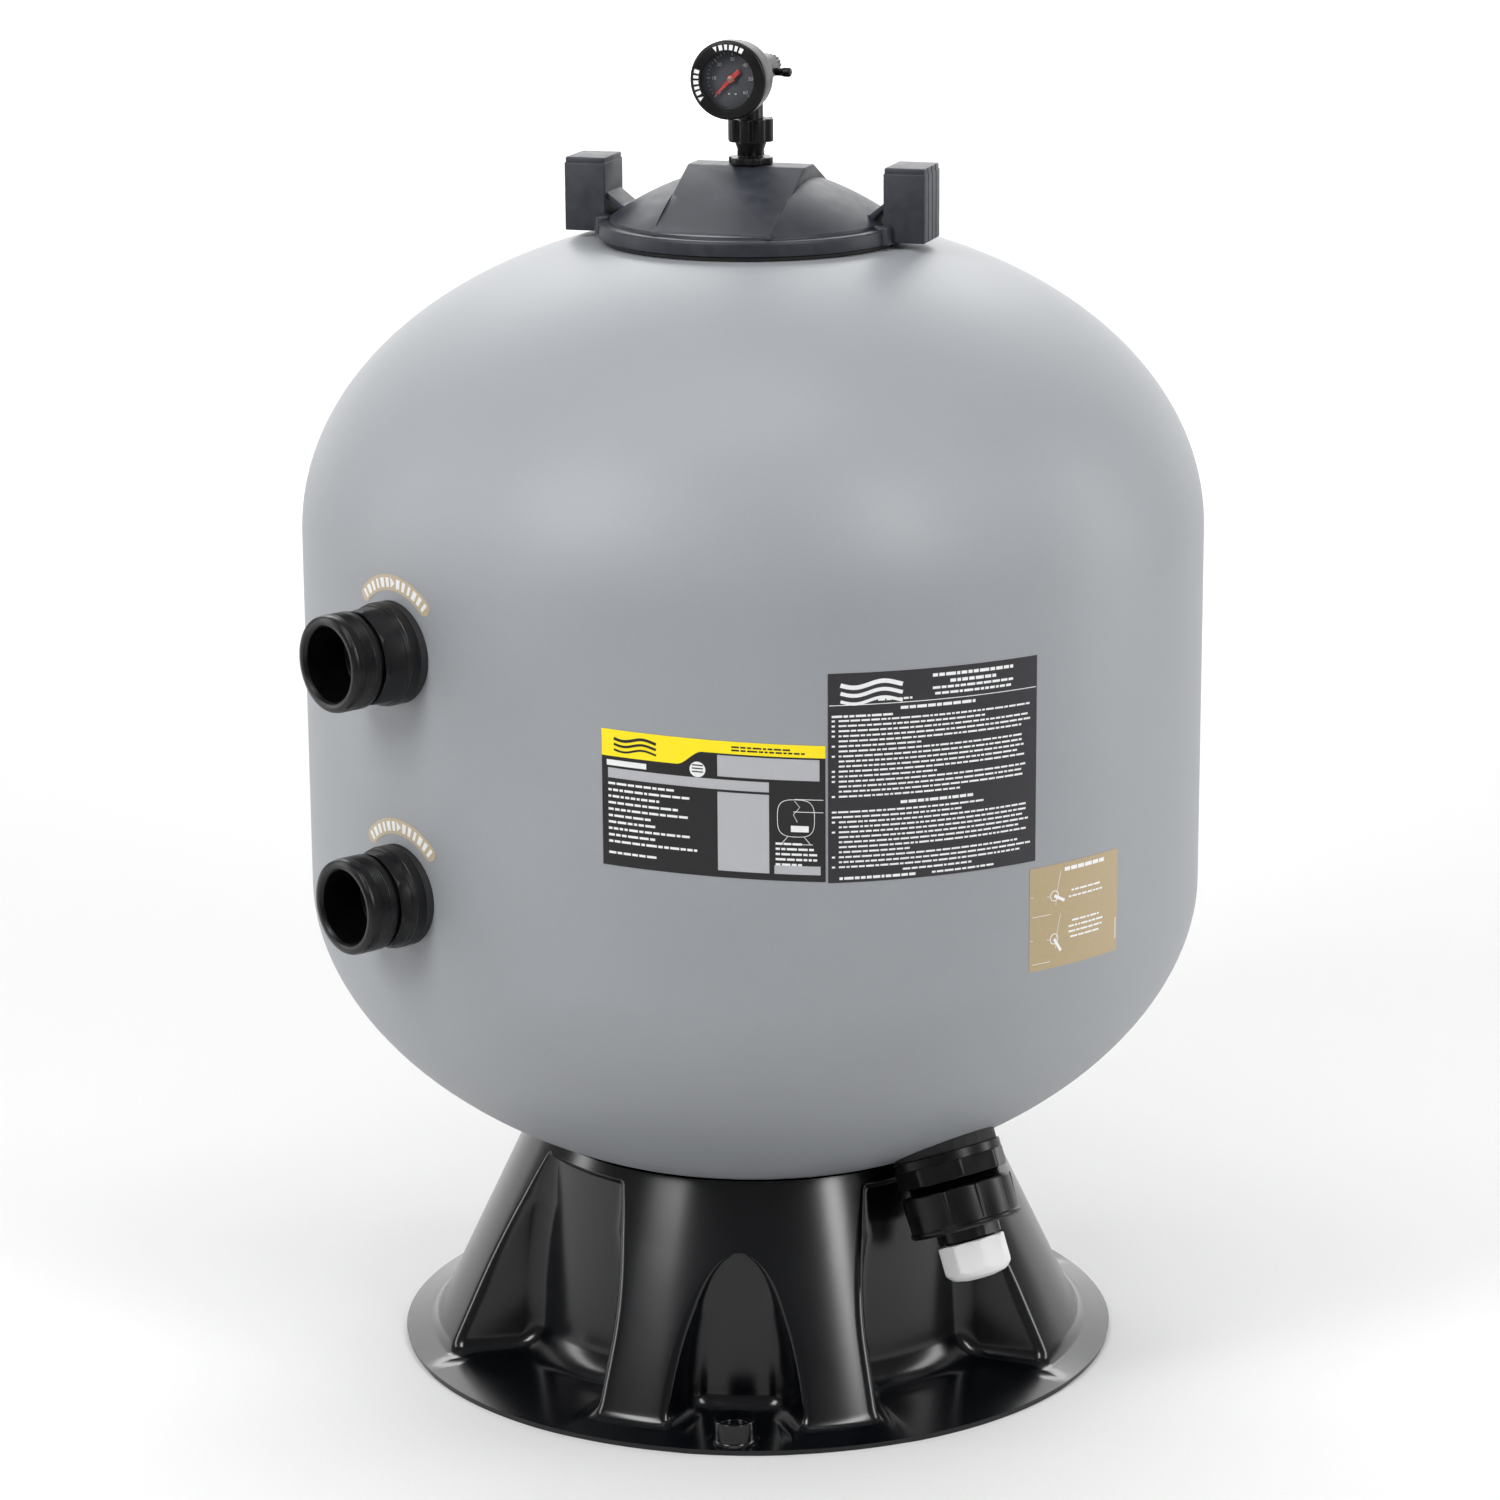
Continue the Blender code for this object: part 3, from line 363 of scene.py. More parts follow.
def turned(name, outline, place, steps=96, shape=None, crease=35):
    """A turned piece from its closed half section; shape(r, z, angle) gives each radius."""
    work = bmesh.new()
    rings = []
    for r, z in outline:
        if r < 0.001 * MM:
            rings.append([work.verts.new((0, 0, z))])
            continue
        ring = []
        for k in range(steps):
            angle = 2 * pi * k / steps
            reach = shape(r, z, angle) if shape else r
            ring.append(work.verts.new((reach * cos(angle), reach * sin(angle), z)))
        rings.append(ring)
    for one, two in zip(rings, rings[1:] + rings[:1]):
        if len(one) == len(two) == 1:
            continue
        for k in range(steps):
            n = k + 1
            corners = (one[k % len(one)], one[n % len(one)], two[n % len(two)],
                       two[k % len(two)])
            work.faces.new(list(dict.fromkeys(corners)))
    return built(name, work, place, crease)


def rod(name, radius, low, high, place, steps=64):
    return turned(name, [(0, high), (radius, high), (radius, low), (0, low)], place, steps)


def flats(count, apothem, inner, low=-9.0, high=9.0, turn=0.0):
    """Flats cut round a turned piece between two heights, outside the inner radius."""
    def shape(r, z, angle):
        if r < inner or not low <= z <= high:
            return r
        off = (angle - turn + pi / count) % (2 * pi / count) - pi / count
        return min(r, apothem / cos(off))
    return shape


def scallops(count, depth, inner, low=-9.0, high=9.0, power=2):
    """Finger scallops round a turned piece."""
    def shape(r, z, angle):
        if r < inner or not low <= z <= high:
            return r
        return r - depth * (0.5 - 0.5 * cos(count * angle)) ** power
    return shape


def ribs(count, rise, half_width, inner, low, high, turn=0.0):
    """Narrow raised ribs along a turned piece."""
    def shape(r, z, angle):
        if r < inner or not low <= z <= high:
            return r
        off = abs((angle - turn + pi / count) % (2 * pi / count) - pi / count)
        return r + rise * min(1.0, max(0.0, 2.0 - off / half_width * 1.6))
    return shape


def block(name, low, high, place, edge=1.0 * MM):
    """A block with rounded edges, from its two corners."""
    work = bmesh.new()
    bmesh.ops.create_cube(work, size=1.0)
    bmesh.ops.scale(work, verts=work.verts, vec=[b - a for a, b in zip(low, high)])
    bmesh.ops.translate(work, verts=work.verts, vec=[(a + b) / 2 for a, b in zip(low, high)])
    if edge:
        bmesh.ops.bevel(work, geom=work.edges[:], offset=edge, segments=3, profile=0.5,
                        affect="EDGES")
    return built(name, work, place)


def plate(name, outline, low, high, place, edge=1.0 * MM, axes="xyz"):
    """A flat outline made thick; axes says where its two directions and thickness lie."""
    work = bmesh.new()
    spots = [axes.index(letter) for letter in "xyz"]
    face = []
    for corner in outline:
        values = (*corner, low)
        face.append(work.verts.new([values[spot] for spot in spots]))
    base = work.faces.new(face)
    moved = bmesh.ops.extrude_face_region(work, geom=[base])["geom"]
    tops = [item for item in moved if isinstance(item, bmesh.types.BMVert)]
    rise = (0, 0, high - low)
    bmesh.ops.translate(work, verts=tops, vec=[rise[spot] for spot in spots])
    if edge:
        bmesh.ops.bevel(work, geom=work.edges[:], offset=edge, segments=3, profile=0.5,
                        affect="EDGES")
    return built(name, work, place)


def superellipse(radius, rise, power, start, end, count):
    """Points of a squared-off ellipse, between two angles from its widest place."""
    points = []
    for i in range(count + 1):
        a = start + (end - start) * i / count
        points.append((radius * max(cos(a), 0.0) ** (2 / power), rise * sin(a) ** (2 / power)))
    return points


# ---- tank ---------------------------------------------------------------------------------
def tank_outline(inset, land_z):
    """Half outline of the tank from the land under the lid to its lowest point."""
    rise = DOME_RISE - inset
    top = asin(((land_z - WALL_TOP_Z) / rise) ** (DOME_POWER / 2))
    dome = superellipse(TANK_R - inset, rise, DOME_POWER, top, 0.0, 44)
    bowl = superellipse(TANK_R - inset, BOWL_DROP - inset, BOWL_POWER, 0.0, pi / 2, 44)
    points = [(r, WALL_TOP_Z + z) for r, z in dome] + [(r, WALL_LOW_Z - z) for r, z in bowl]
    points[-1] = (0.0, points[-1][1])
    return points


def make_tank():
    land = [(NECK_HOLE_R, LAND_Z - 0.010), (NECK_HOLE_R, LAND_Z - 1 * MM),
            (NECK_HOLE_R + 1 * MM, LAND_Z), (0.138, LAND_Z)]
    outline = land + tank_outline(0.0, LAND_Z - 0.4 * MM)
    outline += tank_outline(SHELL, LAND_Z - 0.010)[::-1]
    tank = turned("tank_wall", outline, TANK, steps=192)
    cutters = [rod("outlet_hole", PORT_HOLE_R, 0.30, 0.45, OUTLET),
               rod("inlet_hole", PORT_HOLE_R, 0.30, 0.45, INLET),
               rod("drain_hole", DRAIN_HOLE_R, -0.04, 0.04, DRAIN)]
    fitted(combined(tank, cutters, "DIFFERENCE"), "tank", TANK_WALL, "tank_grey", "tank_shell")


# ---- base skirt ---------------------------------------------------------------------------
FLOOR_Z = 0.0085                        # where the wall's foot meets the flange
FOOT_TOP_Z = 0.040
PAD_FOOT, ARCH_FOOT, BAY_FOOT = 0.007, 0.014, 0.026      # fillets along the wall's foot
SIDE_FOOT = 0.012


def pad_wall(z):
    return 0.2130 - 0.471 * (z - 0.1584)


def arch_wall(z):
    return pad_wall(ARCH_TOP_Z) + 0.09 * (ARCH_TOP_Z - z) if z < ARCH_TOP_Z else pad_wall(z)


def bay_wall(z):
    lip = min(1.0, max(0.0, (SKIRT_LIP_Z - z) / 0.006))
    return pad_wall(z) + ((0.1945 + 0.070 * (SKIRT_LIP_Z - z)) - pad_wall(z)) * lip


def fillet(z, radius):
    """How far a quarter-round fillet at the foot pushes the wall out at this height."""
    under = radius - (z - FLOOR_Z)
    return radius - (radius * radius - under * under) ** 0.5 if under > 0 else 0.0


def recess_side(depth, lip, root, steep, count=9):
    """From the pad into a recess: rounded lip, steep side, rounded root, as
    (sideways, inwards) pairs."""
    shrink = min(1.0, depth / ((lip + root) * (1 - cos(steep))))
    lip *= shrink
    root *= shrink
    straight = max(0.0, depth - (lip + root) * (1 - cos(steep))) / sin(steep)
    curve = []
    for k in range(count + 1):
        a = steep * k / count
        curve.append((lip * sin(a), lip * (1 - cos(a))))
    side = curve[-1][0] + straight * cos(steep)
    drop = curve[-1][1] + straight * sin(steep)
    for k in range(count + 1):
        a = steep * (1 - k / count)
        curve.append((side + root * (sin(steep) - sin(a)), drop + root * (cos(a) - cos(steep))))
    spread = 0.25 * MM                  # keeps the columns apart where the recess dies out
    return [(s + spread * k, d) for k, (s, d) in enumerate(curve)]


def skirt_half_sector(z, arched):
    """(angle, radius) from a pad's middle to the next bay's middle, at one height."""
    pad = pad_wall(z) + fillet(z, PAD_FOOT)
    arch_back = arch_wall(z) + fillet(z, ARCH_FOOT)
    bay_back = bay_wall(z) + fillet(z, BAY_FOOT)
    flare = fillet(z, SIDE_FOOT) / pad
    arch_side = recess_side(max(pad - arch_back, 0.0) + 1e-6, 0.0055, 0.020, radians(74))
    bay_side = recess_side(max(pad - bay_back, 0.0) + 1e-6, 0.0100, 0.018, radians(78))
    half = ARCH_HALF * (1 - min(1.0, z / ARCH_TOP_Z) ** 1.5) ** 0.5
    arch_width = arch_side[-1][0] / pad
    arch_edge = max(asin(half / pad) - flare, arch_width + radians(0.5))
    drop = min(1.0, max(0.0, (SKIRT_LIP_Z - z) / 0.1245))
    bay_edge = pi / 4 - radians(15.0 + 7.1 * (1 - (1 - drop) ** 2)) + flare
    bay_edge = min(bay_edge, pi / 4 - bay_side[-1][0] / pad - radians(1))
    columns = []
    inner = arch_edge - arch_width
    for k in range(5):
        columns.append((inner * k / 5, pad - arch_side[-1][1]))
    columns += [(arch_edge - s / pad, pad - d) for s, d in reversed(arch_side)]
    if not arched:
        columns = [(angle, pad) for angle, _ in columns]
    for k in range(1, 7):
        columns.append((arch_edge + (bay_edge - arch_edge) * k / 7, pad))
    columns += [(bay_edge + s / pad, pad - d) for s, d in bay_side]
    start = columns[-1][0]
    for k in range(1, 9):
        columns.append((start + (pi / 4 - start) * k / 8, pad - bay_side[-1][1]))
    return columns


def skirt_rows():
    """Heights of the wall's rows, close together where the wall curves."""
    rows = [SKIRT_TOP_Z, SKIRT_TOP_Z - 1.2 * MM, SKIRT_LIP_Z + 1 * MM]
    rows += [SKIRT_LIP_Z - 0.006 * k / 5 for k in range(6)]
    low = rows[-1]
    rows += [low - (low - ARCH_TOP_Z) * k / 9 for k in range(1, 10)]
    rows += [ARCH_TOP_Z - (ARCH_TOP_Z - FOOT_TOP_Z) * (k / 24) ** 1.7 for k in range(1, 25)]
    rows += [FLOOR_Z + (FOOT_TOP_Z - FLOOR_Z) * (1 - k / 14) ** 2 for k in range(1, 15)]
    return rows


def make_skirt():
    """Arched recesses front and back, each with its anchor boss, four bays, plain sides."""
    work = bmesh.new()
    grid = [[] for _ in range(len(skirt_rows()) + 7)]
    for quarter in range(4):
        rings = []
        for z in skirt_rows():
            half = skirt_half_sector(z, quarter in ARCHED_QUARTERS)
            rings.append([(angle, r, z) for angle, r in half])
        foot = rings[-1]
        for k in range(1, 8):
            share = k / 7
            rings.append([(angle, r + (SKIRT_R - r) * share,
                           FLOOR_Z + (SKIRT_WALL - FLOOR_Z) * share) for angle, r, z in foot])
        middle = pi / 4 + quarter * pi / 2
        for line, ring in zip(grid, rings):
            sector = [(-a, r, z) for a, r, z in reversed(ring[1:])] + ring[:-1]
            for angle, r, z in sector:
                turn = middle + angle
                line.append(work.verts.new((r * cos(turn), r * sin(turn), z)))
    count = len(grid[0])
    for upper, lower in zip(grid, grid[1:]):
        for i in range(count):
            j = (i + 1) % count
            work.faces.new((upper[i], lower[i], lower[j], upper[j]))
    mesh = bpy.data.meshes.new("skirt_moulding")
    work.to_mesh(mesh)
    work.free()
    skirt = bpy.data.objects.new("skirt_moulding", mesh)
    scene.collection.objects.link(skirt)
    skirt.matrix_world = TANK
    wall = skirt.modifiers.new("wall", "SOLIDIFY")
    wall.thickness = SKIRT_WALL
    wall.offset = -1.0
    settled(skirt, 40)
    for vertex in skirt.data.vertices:
        if vertex.co.z < 1.6 * MM:
            vertex.co.z = 0.0
    bosses, holes = [], []
    for quarter in ARCHED_QUARTERS:
        angle = pi / 4 + quarter * pi / 2
        seat = guide((BOLT_OUT * cos(angle), BOLT_OUT * sin(angle), 0), angle, "Z", TANK)
        outline = eased([(0, 0.0245, 0), (0.0175, 0.0245, 1.0 * MM), (0.0182, 0.0075, 2 * MM),
                         (0.0205, 0.0058, 0), (0.0205, 0.0030, 0), (0, 0.0030, 0)])
        bosses.append(turned("bolt_boss_%d" % quarter, outline, seat, 48))
        outline = eased([(0, 0.030, 0), (0.0150, 0.030, 0), (0.0138, 0.0165, 0.8 * MM),
                         (0.0060, 0.0160, 0.5 * MM), (0.0060, -0.01, 0), (0, -0.01, 0)])
        holes.append(turned("bolt_hole_%d" % quarter, outline, seat, 48))
    combined(skirt, bosses)
    combined(skirt, holes, "DIFFERENCE")
    fitted(settled(skirt, 40), "tank", GLOSS_ABS, "skirt_black", "base_skirt")


# ---- ports --------------------------------------------------------------------------------
def make_port(side, axis, reach):
    """A threaded nozzle through the wall, its lock nut and its outer saddle gasket."""
    flange_z = 0.3560
    pitch = 2.1 * MM
    barrel = [(PORT_R - 4.6 * MM, reach, 0.6 * MM), (PORT_R - 1.0 * MM, reach - 1.2 * MM),
              (PORT_R, reach - 4.0 * MM), (PORT_R, reach - 10 * MM, 0.2 * MM)]
    crest = reach - 11 * MM
    for _ in range(4):
        barrel += [(PORT_R - 0.9 * MM, crest, 0.1 * MM), (PORT_R, crest - pitch / 2, 0.2 * MM)]
        crest -= pitch
    barrel += [(PORT_R - 0.8 * MM, crest, 0.2 * MM), (PORT_R - 0.1 * MM, crest - 0.8 * MM),
               (PORT_R - 0.1 * MM, reach - 25.5 * MM, 0.8 * MM),
               (PORT_SHANK_R, reach - 26.0 * MM), (PORT_SHANK_R, flange_z + 0.008),
               (0.0520, flange_z + 0.008), (0.0520, flange_z),
               (PORT_BORE_R - 0.003, flange_z), (PORT_BORE_R - 0.003, reach - 0.040),
               (PORT_BORE_R, reach - 0.040), (PORT_BORE_R, reach - 3 * MM),
               (PORT_BORE_R + 2.0 * MM, reach - 0.4 * MM, 0.4 * MM)]
    nozzle = turned(side + "_nozzle", eased(barrel), axis, 128)
    fitted(nozzle, "tank", SATIN_ABS, "fitting_black", side + "_bulkhead")

    low = 0.3864
    step = low + 12.5 * MM              # top of the wide collar against the wall
    high = reach - 0.0300
    nut = [(0.0392, high, 1.0 * MM), (0.0400, high - 2.5 * MM), (0.0400, step, 0.4 * MM),
           (0.0410, step, 0.6 * MM), (0.0413, step - 3.6 * MM, 0.2 * MM),
           (0.0420, step - 4.0 * MM, 0.3 * MM), (0.0420, low), (0.0363, low), (0.0363, high)]
    collar = flats(8, 0.0374, 0.0368, step + 0.5 * MM, high, radians(12))
    nut = turned(side + "_nut", eased(nut), axis, 160, collar, 25)
    fitted(nut, "tank", SATIN_ABS, "fitting_black", side + "_lock_nut")

    gasket = turned(side + "_gasket", eased([(0.0418, 0.3860), (0.0418, 0.372), (0.0363, 0.372),
                                             (0.0363, 0.3860)]), axis, 96)
    wall = turned("gasket_cutter", [(0, 0.76), (TANK_R + 0.3 * MM, 0.76),
                                    (TANK_R + 0.3 * MM, 0.38), (0, 0.38)], TANK, 256)
    fitted(combined(gasket, [wall], "DIFFERENCE"), "tank", RUBBER, "seal_rubber",
           side + "_outer_gasket")


# ---- drain --------------------------------------------------------------------------------
def make_drain():
    """Local +Z runs down and out of the bowl."""
    spigot = [(DRAIN_SHANK_R, 0.0445)]
    for i in range(5):
        top = 0.0332 - 1.6 * MM * i
        spigot += [(DRAIN_SHANK_R + 0.6 * MM, top, 0.1 * MM), (0.0398, top - 0.7 * MM, 0.1 * MM)]
    spigot += [(DRAIN_SHANK_R, 0.0248), (DRAIN_SHANK_R, -0.0195), (0.0500, -0.0195),
               (0.0500, -0.0270), (0.0240, -0.0270), (0.0240, 0.0445)]
    spigot = turned("drain_spigot", eased(spigot), DRAIN, 112)
    fitted(spigot, "tank", SATIN_ABS, "fitting_black", "drain_bulkhead")

    lock = [(0.0460, 0.0030), (0.0374, 0.0030), (0.0374, 0.0262), (0.0455, 0.0262, 0.8 * MM),
            (0.0470, 0.0250), (0.0470, 0.0110, 0.5 * MM), (0.0460, 0.0106, 0.3 * MM)]
    lock = turned("drain_nut", eased(lock), DRAIN, 192,
                  flats(8, 0.0440, 0.0452, 0.0108, 0.027, radians(8)), 25)
    fitted(lock, "tank", SATIN_ABS, "fitting_black", "drain_lock_nut")

    tail = [(0.0355, 0.0560), (0.0355, 0.0485), (0.0185, 0.0485), (0.0185, 0.0985),
            (0.0210, 0.0985), (0.0210, 0.0790), (0.0262, 0.0782), (0.0270, 0.0775, 0.3 * MM),
            (0.0270, 0.0560)]
    tail = turned("drain_tail", eased(tail, 0.5 * MM), DRAIN, 96,
                  flats(6, 0.0250, 0.0256, 0.0690, 0.079, radians(20)))
    fitted(tail, "drain_tailpiece", SATIN_ABS, "fitting_black", "drain_tailpiece")

    union = [(0.0455, 0.0685, 0.8 * MM), (0.0475, 0.0668), (0.0475, 0.0645, 0.6 * MM),
             (0.0462, 0.0632, 0.6 * MM), (0.0462, 0.0345), (0.0450, 0.0330, 0.6 * MM),
             (0.0396, 0.0330), (0.0396, 0.0563), (0.0276, 0.0563), (0.0276, 0.0685)]
    grip = ribs(10, 1.2 * MM, radians(1.7), 0.0455, 0.0338, 0.0622, radians(-35))
    union = turned("union_nut", eased(union), DRAIN, 360, grip, 30)
    fitted(union, "drain_union_nut", SATIN_ABS, "fitting_black", "drain_union_nut")

    washer = turned("cap_washer", eased([(0.0210, 0.0988), (0.0210, 0.1008), (0.0150, 0.1008),
                                         (0.0150, 0.0988)], 0.5 * MM), DRAIN, 64)
    fitted(washer, "drain_cap_washer", RUBBER, "seal_rubber", "drain_cap_washer")

    cap = [(0, 0.1011, 0), (0.0216, 0.1011), (0.0216, 0.0800), (0.0270, 0.0800, 0.5 * MM),
           (0.0290, 0.0812, 0.5 * MM), (0.0290, 0.1035, 2 * MM), (0.0235, 0.1098, 3 * MM),
           (0.0120, 0.1125, 2 * MM), (0, 0.1125, 0)]
    cap = turned("cap_moulding", eased(cap), DRAIN, 192,
                 flats(8, 0.0272, 0.0225, 0.079, 0.1120, radians(4)), 22)
    fitted(cap, "drain_cap", WHITE_PVC, "cap_white", "drain_cap")


# ---- lid ----------------------------------------------------------------------------------
def lid_height(r):
    return LID_TOP_Z - r * r / LID_CURVE


def make_lug(side):
    """A tall grip lug with three grooves down its outer face, tied to the dome by a web."""
    place = guide((0, 0, 0), side * pi, "Z", LID)
    tall = LUG_TOP_Z
    lug = block("lug", (0.1210, -0.0235, 0.9660), (0.1565, 0.0235, tall - 4.5 * MM), place)
    crown = block("lug_crown", (0.1216, -0.0226, tall - 7 * MM), (0.1559, 0.0226, tall), place,
                  1.3 * MM)
    foot = block("lug_foot", (0.1120, -0.0205, 0.9670), (0.1225, 0.0205, 0.9780), place)
    web = plate("lug_web", [(0.104, 0.9825), (0.112, 0.9845), (0.1225, 0.9950), (0.1225, 0.9995),
                           (0.108, 0.9880), (0.104, 0.9870)], -0.018, 0.018, place, 0.5 * MM,
                "xzy")
    horns = []
    for hand in (-1, 1):
        spot = guide((0.1215, hand * 0.0265, 0), 0, "Z", place)
        outline = eased([(0, 0.9805, 0), (0.0072, 0.9805, 2.5 * MM), (0.0076, 0.9652, 0),
                         (0, 0.9652, 0)])
        horns.append(turned("lug_horn_%d" % hand, outline, spot, 32))
    grooves = []
    for k in (-1, 0, 1):
        y = k * 0.0117
        grooves.append(block("lug_groove_%d" % k, (0.1550, y - 0.9 * MM, 0.960),
                             (0.1580, y + 0.9 * MM, 1.030), place, 0))
    combined(lug, [crown, foot, web] + horns)
    return combined(lug, grooves, "DIFFERENCE")


def make_lid():
    low = LID_FOOT_Z
    radii = [0.118 * k / 24 for k in range(24, 2, -1)]
    top = [(LID_BORE_R, lid_height(LID_BORE_R), 0.3 * MM)]
    top += [(r, lid_height(r), 0) for r in reversed(radii)]
    rim = [(0.1184, LID_RIM_Z + 0.2 * MM, 0.8 * MM), (0.1262, LID_RIM_Z, 1.4 * MM),
           (LID_R, LID_RIM_Z - 2 * MM), (LID_R, low), (0.0945, low)]
    thread = []
    for i in range(3):
        crest = 0.9580 - 0.008 * i
        thread += [(0.0945, crest, 0.6 * MM), (0.0970, crest - 0.0018), (0.0970, crest - 0.0030),
                   (0.0945, crest - 0.0048, 0.6 * MM)]
    under = [(0.0945, 0.9320), (0.0885, 0.9320), (0.0885, 0.9650)]
    under += [(r, lid_height(r) - 0.006, 0) for r in radii if r < 0.086]
    outline = eased(top + rim + thread + under, 0.6 * MM, 3)
    lid = turned("lid_moulding", outline, LID, 160)
    slope = [(-0.110, 0.9765), (0.110, 0.9765), (0.110, 0.9795), (0.013, 1.0240),
             (-0.013, 1.0240), (-0.110, 0.9795)]
    gable = plate("lid_gable", slope, -0.051, 0.051, LID, 1.2 * MM, "yzx")
    shaved = [(-0.130, 0.9795), (-0.110, 0.9795), (-0.013, 1.0240), (0.013, 1.0240),
              (0.110, 0.9795), (0.130, 0.9795), (0.130, 1.06), (-0.130, 1.06)]
    combined(lid, [plate("lid_shave", shaved, -0.0505, 0.0505, LID, 0, "yzx")], "DIFFERENCE")
    hollow = [(0, 1.0080), (0.045, lid_height(0.045) - 0.013), (0.080, lid_height(0.080) - 0.013),
              (0.0915, 0.972), (0.0915, 0.90), (0, 0.90)]
    combined(gable, [turned("lid_hollow", hollow, LID, 64)], "DIFFERENCE")
    lugs = [make_lug(side) for side in (0, 1)]
    for number, lug in enumerate(lugs):
        lug.name = "lid_lug_%d" % number
    combined(lid, [gable] + lugs)
    combined(lid, [rod("lid_bore", LID_BORE_R, 0.95, 1.05, LID, 48)], "DIFFERENCE")
    fitted(lid, "lid", NYLON, "lid_charcoal", "lid")

    seal = turned("lid_gasket", eased([(0.1240, LAND_Z + 0.3 * MM, 1.2 * MM),
                                       (0.1120, LAND_Z + 0.3 * MM), (0.1120, low - 0.3 * MM),
                                       (0.1240, low - 0.3 * MM, 1.2 * MM)]), LID, 128)
    fitted(seal, "lid_seal", RUBBER, "seal_rubber", "lid_seal")


# ---- gauge stack --------------------------------------------------------------------------
STEM_TWIST = radians(-14.5)             # the square stands a little askew on the lid


def make_stem():
    nut = turned("stem_hex", eased([(0.01875, 1.0300), (0.01875, 1.0245), (0.0102, 1.0245),
                                    (0.0102, 1.0300)]), LID, 144,
                 scallops(6, 0.0026, 0.0172), 30)
    fitted(nut, "lid", SATIN_ABS, "fitting_black", "stem_nut")
    askew = guide((0, 0, 0), STEM_TWIST, "Z", LID)
    stem = turned("riser", eased([(0.0098, 1.0315), (0.0098, 1.0060), (0.0055, 1.0060),
                                  (0.0055, 1.0540), (0.0132, 1.0540), (0.0132, 1.0420)],
                                 0.4 * MM), LID, 64)
    square = block("riser_square", (-0.0083, -0.0083, 1.0304), (0.0083, 0.0083, 1.0430), askew,
                   0.7 * MM)
    combined(stem, [square])
    pin_hole = guide((0, 0, 1.0362), pi / 2, "X", askew)
    combined(stem, [rod("riser_bore", 0.0055, 1.00, 1.06, LID, 32),
                    rod("riser_pin_hole", 0.0011, 0.006, 0.010, pin_hole, 24)], "DIFFERENCE")
    fitted(stem, "lid", SATIN_ABS, "fitting_black", "riser_stem")


def make_swivel():
    profile = eased([(0.01925, 1.0620), (0.01925, 1.0430), (0.0139, 1.0430), (0.0139, 1.0590),
                     (0.0109, 1.0590), (0.0109, 1.0620)])
    nut = turned("swivel_collar", profile, LID, 192, scallops(8, 0.0032, 0.0175, power=3), 30)
    fitted(nut, "swivel_nut", SATIN_ABS, "fitting_black", "swivel_nut")

    column = eased([(0, 1.1110, 0), (0.0105, 1.1110, 2 * MM), (0.0105, 1.0587), (0.0134, 1.0587),
                    (0.0134, 1.0563), (0, 1.0563, 0)], 0.3 * MM)
    tee = turned("gauge_body", column, LID, 64)
    barrel = eased([(0, 0.0300, 0), (0.0115, 0.0300), (0.0115, -0.0420), (0.0090, -0.0460),
                    (0, -0.0460, 0)])
    barrel = turned("tee_barrel", barrel, GAUGE, 64)
    spout_axis = guide((0, -0.004, -0.0400), pi / 2, "Y", GAUGE)
    spout = turned("tee_spout", eased([(0, 0.0230, 0), (0.0034, 0.0230, 0.5 * MM),
                                       (0.0040, 0.0215, 0.4 * MM), (0.0040, 0.0165, 0.4 * MM),
                                       (0.0033, 0.0150, 0.3 * MM), (0.0033, 0, 0), (0, 0, 0)]),
                   spout_axis, 32)
    combined(tee, [barrel, spout])
    combined(tee, [rod("tee_bleed_bore", 0.0037, -0.060, -0.027, GAUGE, 32),
                   rod("tee_spout_bore", 0.0016, 0.012, 0.040, spout_axis, 24)], "DIFFERENCE")
    fitted(tee, "gauge_head", SATIN_ABS, "fitting_black", "gauge_tee")

    knob = [(0, -0.0303, 0), (0.0032, -0.0303), (0.0032, -0.0490), (0.0085, -0.0490),
            (0.00925, -0.0500), (0.00925, -0.0580), (0.0085, -0.0590), (0.0050, -0.0590),
            (0.0046, -0.0580), (0, -0.0580, 0)]
    knob = turned("bleed_thumb_knob", eased(knob, 0.4 * MM), GAUGE, 192,
                  scallops(16, 0.0008, 0.0080), 30)
    fitted(knob, "bleed_knob", SATIN_ABS, "fitting_black", "bleed_knob")


def on_dial(r, angle, h):
    """Where a polar place on the gauge's face lies, at height h up its axis."""
    return FACE * r * cos(angle), FACE * r * sin(angle), h


def widened(outline):
    return [(FACE * r, z) for r, z in outline]


def scale_angle(share):
    """Where a share of the scale lies: three quarters of a turn, clockwise from low left."""
    return radians(225 - 270 * share)


